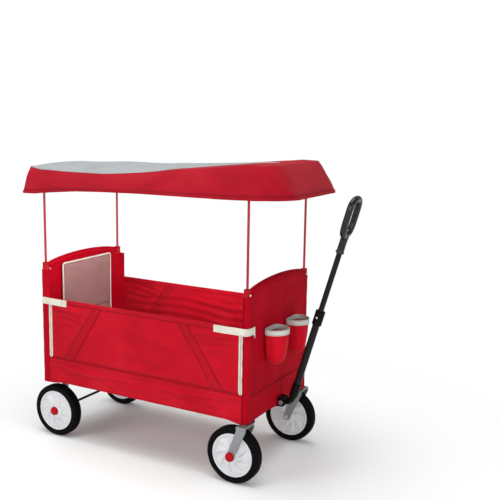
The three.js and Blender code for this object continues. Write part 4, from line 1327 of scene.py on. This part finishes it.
# ---------------------------------------------------------------- seat backs and floor
def inflate(name, low, high, mat, pressure, limit, voxel=0.006):
    """a thin slab (corners in millimetres) blown up by cloth simulation like a stuffed pad

    limit is the most any point may move, in metres."""
    bm = bmesh.new()
    bmesh.ops.create_cube(bm, size=1)
    lo, hi = metres(low), metres(high)
    for v in bm.verts:
        v.co = Vector([(lo[i] + hi[i]) / 2 + (hi[i] - lo[i]) * v.co[i] for i in range(3)])
    mesh = bpy.data.meshes.new(name)
    bm.to_mesh(mesh)
    bm.free()
    mesh.materials.append(mat)
    ob = add_object(name, mesh)
    bevel = ob.modifiers.new("r", "BEVEL")
    bevel.width = 0.0035
    bevel.segments = 3
    remesh = ob.modifiers.new("v", "REMESH")
    remesh.mode = "VOXEL"
    remesh.voxel_size = voxel
    apply_modifiers(ob)
    rest = coords(ob)
    cloth = ob.modifiers.new("cloth", "CLOTH")
    settings = cloth.settings
    settings.quality = 6
    settings.mass = 0.25
    settings.tension_stiffness = 18
    settings.compression_stiffness = 18
    settings.shear_stiffness = 6
    settings.bending_stiffness = 0.9
    settings.use_pressure = True
    settings.uniform_pressure_force = pressure
    settings.effector_weights.gravity = 0
    cloth.collision_settings.use_collision = False
    cloth.collision_settings.use_self_collision = False
    last_frame = 20
    cloth.point_cache.frame_start = 1
    cloth.point_cache.frame_end = last_frame
    scene = bpy.context.scene
    scene.frame_start = 1
    scene.frame_end = last_frame
    for i in range(1, last_frame + 1):
        scene.frame_set(i)
    new = coords(ob.evaluated_get(bpy.context.evaluated_depsgraph_get()))
    ob.modifiers.clear()
    move = new - rest
    length = np.linalg.norm(move, axis=1)
    share = np.where(length > limit, limit / np.maximum(length, 1e-9), 1)
    new = rest + move * share[:, None]
    scene.frame_set(1)
    set_coords(ob, new)
    subdivision = ob.modifiers.new("s", "SUBSURF")
    subdivision.levels = 1
    subdivision.render_levels = 1
    apply_modifiers(ob)
    set_smooth(ob.data)
    return ob


def fit_into(ob, low, high):
    """scale a piece into a box, millimetres from the tub's centre"""
    lo, hi = metres(low), metres(high)
    co = coords(ob)
    a, b = co.min(0), co.max(0)
    set_coords(ob, lo + (co - a) / (b - a) * (hi - lo))
    ob.data.update()


def seat_back(name, body, node):
    """stuffed pad with one sewn channel across it and piping round its edge"""
    x0, y0, z0, x1, y1, z1 = box_mm(node)
    mid = (x0 + x1) / 2
    ob = inflate(name + "_pad", (mid - 5.5, y0 + 4, z0 + 5), (mid + 5.5, y1 - 4, z1 - 5),
                 SEAT_CLOTH, pressure=4.0, limit=0.0062)
    fit_into(ob, (x0 + 0.8, y0 + 2.6, z0 + 3), (x1 - 0.4, y1 - 2.6, z1 - 2.4))
    co = coords(ob)
    x, y, z = (co[:, 0] - CENTRE_X) * 1000 - mid, co[:, 1] * 1000, co[:, 2] * 1000
    from_channel = z - (z0 + (z1 - z0) * 0.5)
    channel = bell(from_channel, 5.5)
    co[:, 0] -= np.sign(x) * channel * 0.0042 * clip01(np.abs(x) / 8)
    to_edge = np.minimum(np.minimum(y - y0, y1 - y), np.minimum(z - z0, z1 - z))
    seam = np.maximum(bell(from_channel, 1.8) * 0.8, bell(to_edge - 6.5, 1.8) * 0.7)
    set_coords(ob, co)
    set_seam_and_shade(ob.data, seam)
    edge = round_rect(y1 - y0 - 5.5, z1 - z0 - 6, 8, 8, (y0 + y1) / 2, (z0 + z1) / 2)
    edge = np.vstack([edge, edge[:1]])
    run = arc_length(edge)
    even = np.linspace(0, run[-1], 420)
    loop = points(mid, np.interp(even, run, edge[:, 0]), np.interp(even, run, edge[:, 1]))
    pipe = sweep("pipe", loop, circle(3.1, 14), PIPING)
    place(join(name, [ob, pipe]), body, "seat_taupe", node)


seat_back("seat_back_rear_look", "rear_frame", "rear_seat_back")
seat_back("seat_back_front_look", "front_frame", "front_seat_back")


def floor_pad(name, body, node):
    """padded cover over the floor board, quilted four by four"""
    x0, y0, z0, x1, y1, z1 = box_mm(node)
    nx, ny = 150, 170
    cells = 4
    X, Y = np.meshgrid(np.linspace(x0, x1, nx), np.linspace(y0, y1, ny), indexing="ij")
    to_edge = np.minimum(np.minimum(X - x0, x1 - X), np.minimum(Y - y0, y1 - Y))
    swell = rounded(to_edge / 4.5)
    half, mid = (z1 - z0) / 2, (z0 + z1) / 2

    def to_line(value, low, high):
        """distance from the nearest quilting line"""
        off = np.abs(((value - low) / (high - low) * cells) % 1 - 0.5) * 2
        return (1 - off) * (high - low) / cells / 2
    line_x, line_y = to_line(X, x0, x1), to_line(Y, y0, y1)

    def lines(width):
        return np.maximum(bell(line_x, width), bell(line_y, width)) * (to_edge > 8)
    puff = 0.3 * wave(X, Y, 6, 120, 120, 81) * swell * 0.5
    top = np.minimum(mid + half * swell - 1.6 * lines(4) + puff - 0.4, z1)
    bottom = mid - half * swell + 0.1
    verts = np.vstack([points(X, Y, Z).reshape(-1, 3) for Z in (top, bottom)])
    ob = make(name, verts, two_sided(nx, ny), FLOOR_CLOTH,
              seam=np.r_[lines(1.4).ravel(), np.zeros(nx * ny)], weld=1e-6)
    place(outward(ob), body, "floor_fabric", node)


floor_pad("floor_pad_rear", "floor_rear", "floor_rear_panel")
floor_pad("floor_pad_front", "floor_front", "floor_front_panel")

# ---------------------------------------------------------------- pole sockets and bolts
# (radius about the post, z)
SOCKET = [(5.1, 652), (5.1, 675.2), (5.9, 676), (11.2, 676), (12, 675.2), (12, 668.6),
          (11.6, 668.0), (11.6, 667.0), (12, 666.4), (12, 650.8), (12.7, 650.2), (13.0, 649.4),
          (13.0, 645.0), (12.4, 644.2), (11.9, 644), (11.9, 640.6), (10.9, 640.5), (5.1, 640.5),
          (5.1, 652)]
# domed heads on the end face: z, radius, height, |y|, |x| of the base, material
HEADS = ((657.5, 5.4, 3.6, POST_Y, POST_X + 10.9, ZINC),
         (635.5, 3.4, 1.7, 212.5, COVER_X + 0.5, RED_PLASTIC))
# dome profile as shares of the head's radius and height
DOME = ((0, 1), (0.45, 0.97), (0.8, 0.7), (0.97, 0.35), (1, 0), (0, 0))


def head(end, side, z, radius, height, y, base_x, mat):
    profile = [(radius * r, end * (base_x + height * h)) for r, h in DOME]
    return lathe("head", profile, mat, (0, side * y, z), "x", 28)


for end_name, end in (("rear", -1), ("front", 1)):
    for side_name, side in SIDES:
        tag = f"{end_name}_{side_name}"
        body = f"{end_name}_frame"
        ob = lathe("socket", SOCKET, RED_PLASTIC, (end * POST_X, side * POST_Y, 0), "z", 64)
        place(join(f"socket_{tag}", [ob]), body, "plastic_red", f"pole_socket_{tag}")
        heads = [head(end, side, *sizes) for sizes in HEADS]
        place(join(f"sleeve_bolts_{tag}", heads), body, "fastener")

# ---------------------------------------------------------------- handle grip
HANDLE_LEAN = math.radians(16.46)
HANDLE_FOOT = np.array([466.3, 0, 236.0])
GRIP_X = 30.0                      # the grip's centre ahead of the handle's own axis
# neck: (radius, z along the tube)
NECK = ((9.8, 584.4), (14.2, 584.2), (15.4, 585.2), (15.6, 587.5), (14.6, 589.5), (13.4, 591),
        (12.9, 596), (12.7, 610), (12.6, 622), (12.9, 632), (13.4, 640))
# where the neck spreads into the loop: (z, radius across, radius fore and aft)
SPREAD = ((645, 16.5, 13.2), (650, 20, 12.4), (654, 23, 11.2), (657, 24, 9.0), (659, 22, 5),
          (659.6, 17, 1.5))
# centre line of the loop's left half: (y, z)
LOOP = [(0, 648.5), (13, 650.0), (25, 657), (32.5, 670), (35.5, 690), (35.5, 722), (35.3, 745),
        (31.5, 761), (22, 772), (9, 776.2), (0, 776.5)]


def from_handle(p):
    """handle's own axes (x ahead, z along the tube) to millimetres from the tub's centre"""
    c, s = math.cos(HANDLE_LEAN), math.sin(HANDLE_LEAN)
    return np.stack([HANDLE_FOOT[0] + p[..., 0] * c + p[..., 2] * s, p[..., 1],
                     HANDLE_FOOT[2] - p[..., 0] * s + p[..., 2] * c], -1)


def grip():
    a = turn(48)
    stations = [(z, r, r) for r, z in NECK] + list(SPREAD)
    rings = [from_handle(points(GRIP_X + rx * np.cos(a), ry * np.sin(a), z))
             for z, ry, rx in stations]
    parts = [skin("neck", rings, GRIP_SOFT, caps=True)]
    left = [(GRIP_X, y, z) for y, z in LOOP]
    right = [(GRIP_X, -y, z) for y, z in LOOP[::-1][1:]]
    path = smooth_path(left + right, 7)[:-1]
    tangents = np.roll(path, -1, 0) - np.roll(path, 1, 0)
    tangents /= np.linalg.norm(tangents, axis=1)[:, None]
    ahead = np.array([1.0, 0, 0])
    radius = 11.3
    a = turn(28)
    rings = []
    for point, across in zip(path, np.cross(tangents, ahead)):
        # finger ripples along the top bar
        finger = 0.35 * math.sin(point[1] / 3.2) if point[2] > 735 else 0.0
        rings.append(point + (np.cos(a)[:, None] * ahead * (radius + finger * 0.4)
                              + np.sin(a)[:, None] * across * (radius + finger)))
    parts.append(skin("loop", from_handle(np.array(rings)), GRIP_SOFT, loop=True))
    ob = join("handle_grip_look", parts)
    remesh = ob.modifiers.new("r", "REMESH")
    remesh.mode = "VOXEL"
    remesh.voxel_size = 0.0022
    remesh.use_smooth_shade = True
    smooth = ob.modifiers.new("s", "SMOOTH")
    smooth.factor = 0.5
    smooth.iterations = 6
    apply_modifiers(ob)
    set_smooth(ob.data)
    place(ob, "handle_upper", "grip_black", "handle_grip")


grip()


# ---------------------------------------------------------------- carried-over parts
def both(name):
    return name + "_right", name + "_left"


def dress(names, mat, bevel, segments=2):
    """material, edges and shading for CAD pieces that stay"""
    for name in names:
        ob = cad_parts[name]
        if not hasattr(ob, "data"):        # guards against a node that is no Blender object
            continue
        ob.data.materials.clear()
        ob.data.materials.append(mat)
        ob.modifiers.new("weld", "WELD").merge_threshold = 1e-5
        set_smooth(ob.data)
        soften(ob, bevel, segments, angle=30)


dress(("rear_end_frame", "front_end_frame", "floor_rear_frame", "floor_front_frame"),
      FRAME_GREY, bevel=0.4)
dress(both("caster_fork"), FRAME_GREY, bevel=0.7, segments=3)
dress(("rear_hinge_rod", "front_hinge_rod", "middle_hinge_rod", "handle_pivot_bolt",
       "handle_button", *both("front_axle")), ZINC, bevel=0.5)
dress(("rear_axle", "handle_lower_tube", "handle_upper_tube"), BLACK_TUBE, bevel=0.3)
dress(("handle_bracket", "handle_yoke", "handle_collar", *both("caster_housing")),
      BLACK_PLASTIC, bevel=0.7, segments=3)
dress((*both("canopy_pole_rear"), *both("canopy_pole_front")), POLE_RED, bevel=0)

# ---------------------------------------------------------------- studio
# area lights, metres and watts: name, place, target, size, power
LIGHTS = (("key", (-1.9, -3.4, 2.0), (0, 0, 0.45), (2.4, 1.8), 46),
          ("top", (-0.2, -0.2, 3.6), (0, 0, 0), (3.2, 2.4), 92),
          ("front", (1.7, -3.3, 1.0), (0, 0, 0.5), (1.8, 1.2), 36),
          ("fill", (3.2, -1.0, 1.2), (-0.2, 0, 0.5), (1.6, 1.2), 11),
          ("inside", (-0.05, -0.02, 0.86), (-0.25, 0.2, 0.42), (0.7, 0.2), 3.6))


def studio_floor():
    """wide floor that runs out to plain white away from the wagon"""
    half = 60.0
    mesh = bpy.data.meshes.new("floor")
    mesh.from_pydata([(-half, -half, 0), (half, -half, 0), (half, half, 0), (-half, half, 0)],
                     [], [(0, 1, 2, 3)])
    ob = add_object("studio_floor", mesh)
    s = Shader("studio_floor")
    position = s.node("TexCoord").outputs["Object"]
    s.surface({
        "Base Color": s.ramp(s.noise(position, scale=1.5, detail=2),
                             (0.3, (0.925, 0.955, 0.95)), (0.7, (0.945, 0.975, 0.97))),
        "Roughness": 0.75,
        "Specular IOR Level": 0.1})
    distance = s.node("VectorMath", operation="LENGTH")
    s.link(position, distance.inputs[0])
    # distances as shares of four metres
    far = s.mask(s.math("DIVIDE", distance.outputs["Value"], 4.0), 0.13, 0.36)
    white = s.node("Emission")
    white.inputs[0].default_value = (1, 1, 1, 1)
    white.inputs[1].default_value = 1.0
    mixed = s.node("MixShader")
    for socket, source in zip(mixed.inputs, (far, s.bsdf.outputs[0], white.outputs[0])):
        s.link(source, socket)
    s.link(mixed.outputs[0], s.output.inputs[0])
    mesh.materials.append(s.material)


def studio_world():
    """dim white light on the wagon, full white to the camera"""
    world = bpy.data.worlds.new("studio")
    bpy.context.scene.world = world
    world.use_nodes = True
    tree = world.node_tree
    tree.nodes.clear()
    light, output, path, backdrop, mix = (
        tree.nodes.new("ShaderNode" + kind)
        for kind in ("Background", "OutputWorld", "LightPath", "Background", "MixShader"))
    tree.links.new(path.outputs["Is Camera Ray"], mix.inputs[0])
    tree.links.new(light.outputs[0], mix.inputs[1])
    tree.links.new(backdrop.outputs[0], mix.inputs[2])
    tree.links.new(mix.outputs[0], output.inputs[0])
    for node, strength in ((light, 0.42), (backdrop, 1.0)):
        node.inputs[0].default_value = (1, 1, 1, 1)
        node.inputs[1].default_value = strength


def area_light(name, location, target, size, power):
    light = bpy.data.lights.new(name, "AREA")
    light.shape = "RECTANGLE"
    light.size, light.size_y = size
    light.energy = power
    ob = add_object(name, light)
    ob.location = location
    ob.visible_camera = False
    aim = Vector(target) - Vector(location)
    ob.rotation_euler = aim.to_track_quat("-Z", "Y").to_euler()


def camera():
    yaw, pitch, roll = math.radians(28.6), math.radians(-9.8), math.radians(1.0)
    forward = Vector((-math.sin(yaw) * math.cos(pitch), math.cos(yaw) * math.cos(pitch),
                      math.sin(pitch)))
    level = forward.cross(Vector((0, 0, 1))).normalized()
    upright = level.cross(forward)
    right = level * math.cos(roll) + upright * math.sin(roll)
    up = -level * math.sin(roll) + upright * math.cos(roll)
    ob = add_object("camera", bpy.data.cameras.new("camera"))
    ob.data.lens = 60.1
    ob.data.sensor_width = 36.0
    pose = Matrix((right, up, -forward)).transposed().to_4x4()
    pose.translation = Vector((1.6055, -2.5487, 1.2666))
    ob.matrix_world = pose
    bpy.context.scene.camera = ob


studio_floor()
studio_world()
for light in LIGHTS:
    area_light(*light)
camera()
bpy.context.scene.view_settings.view_transform = "Standard"
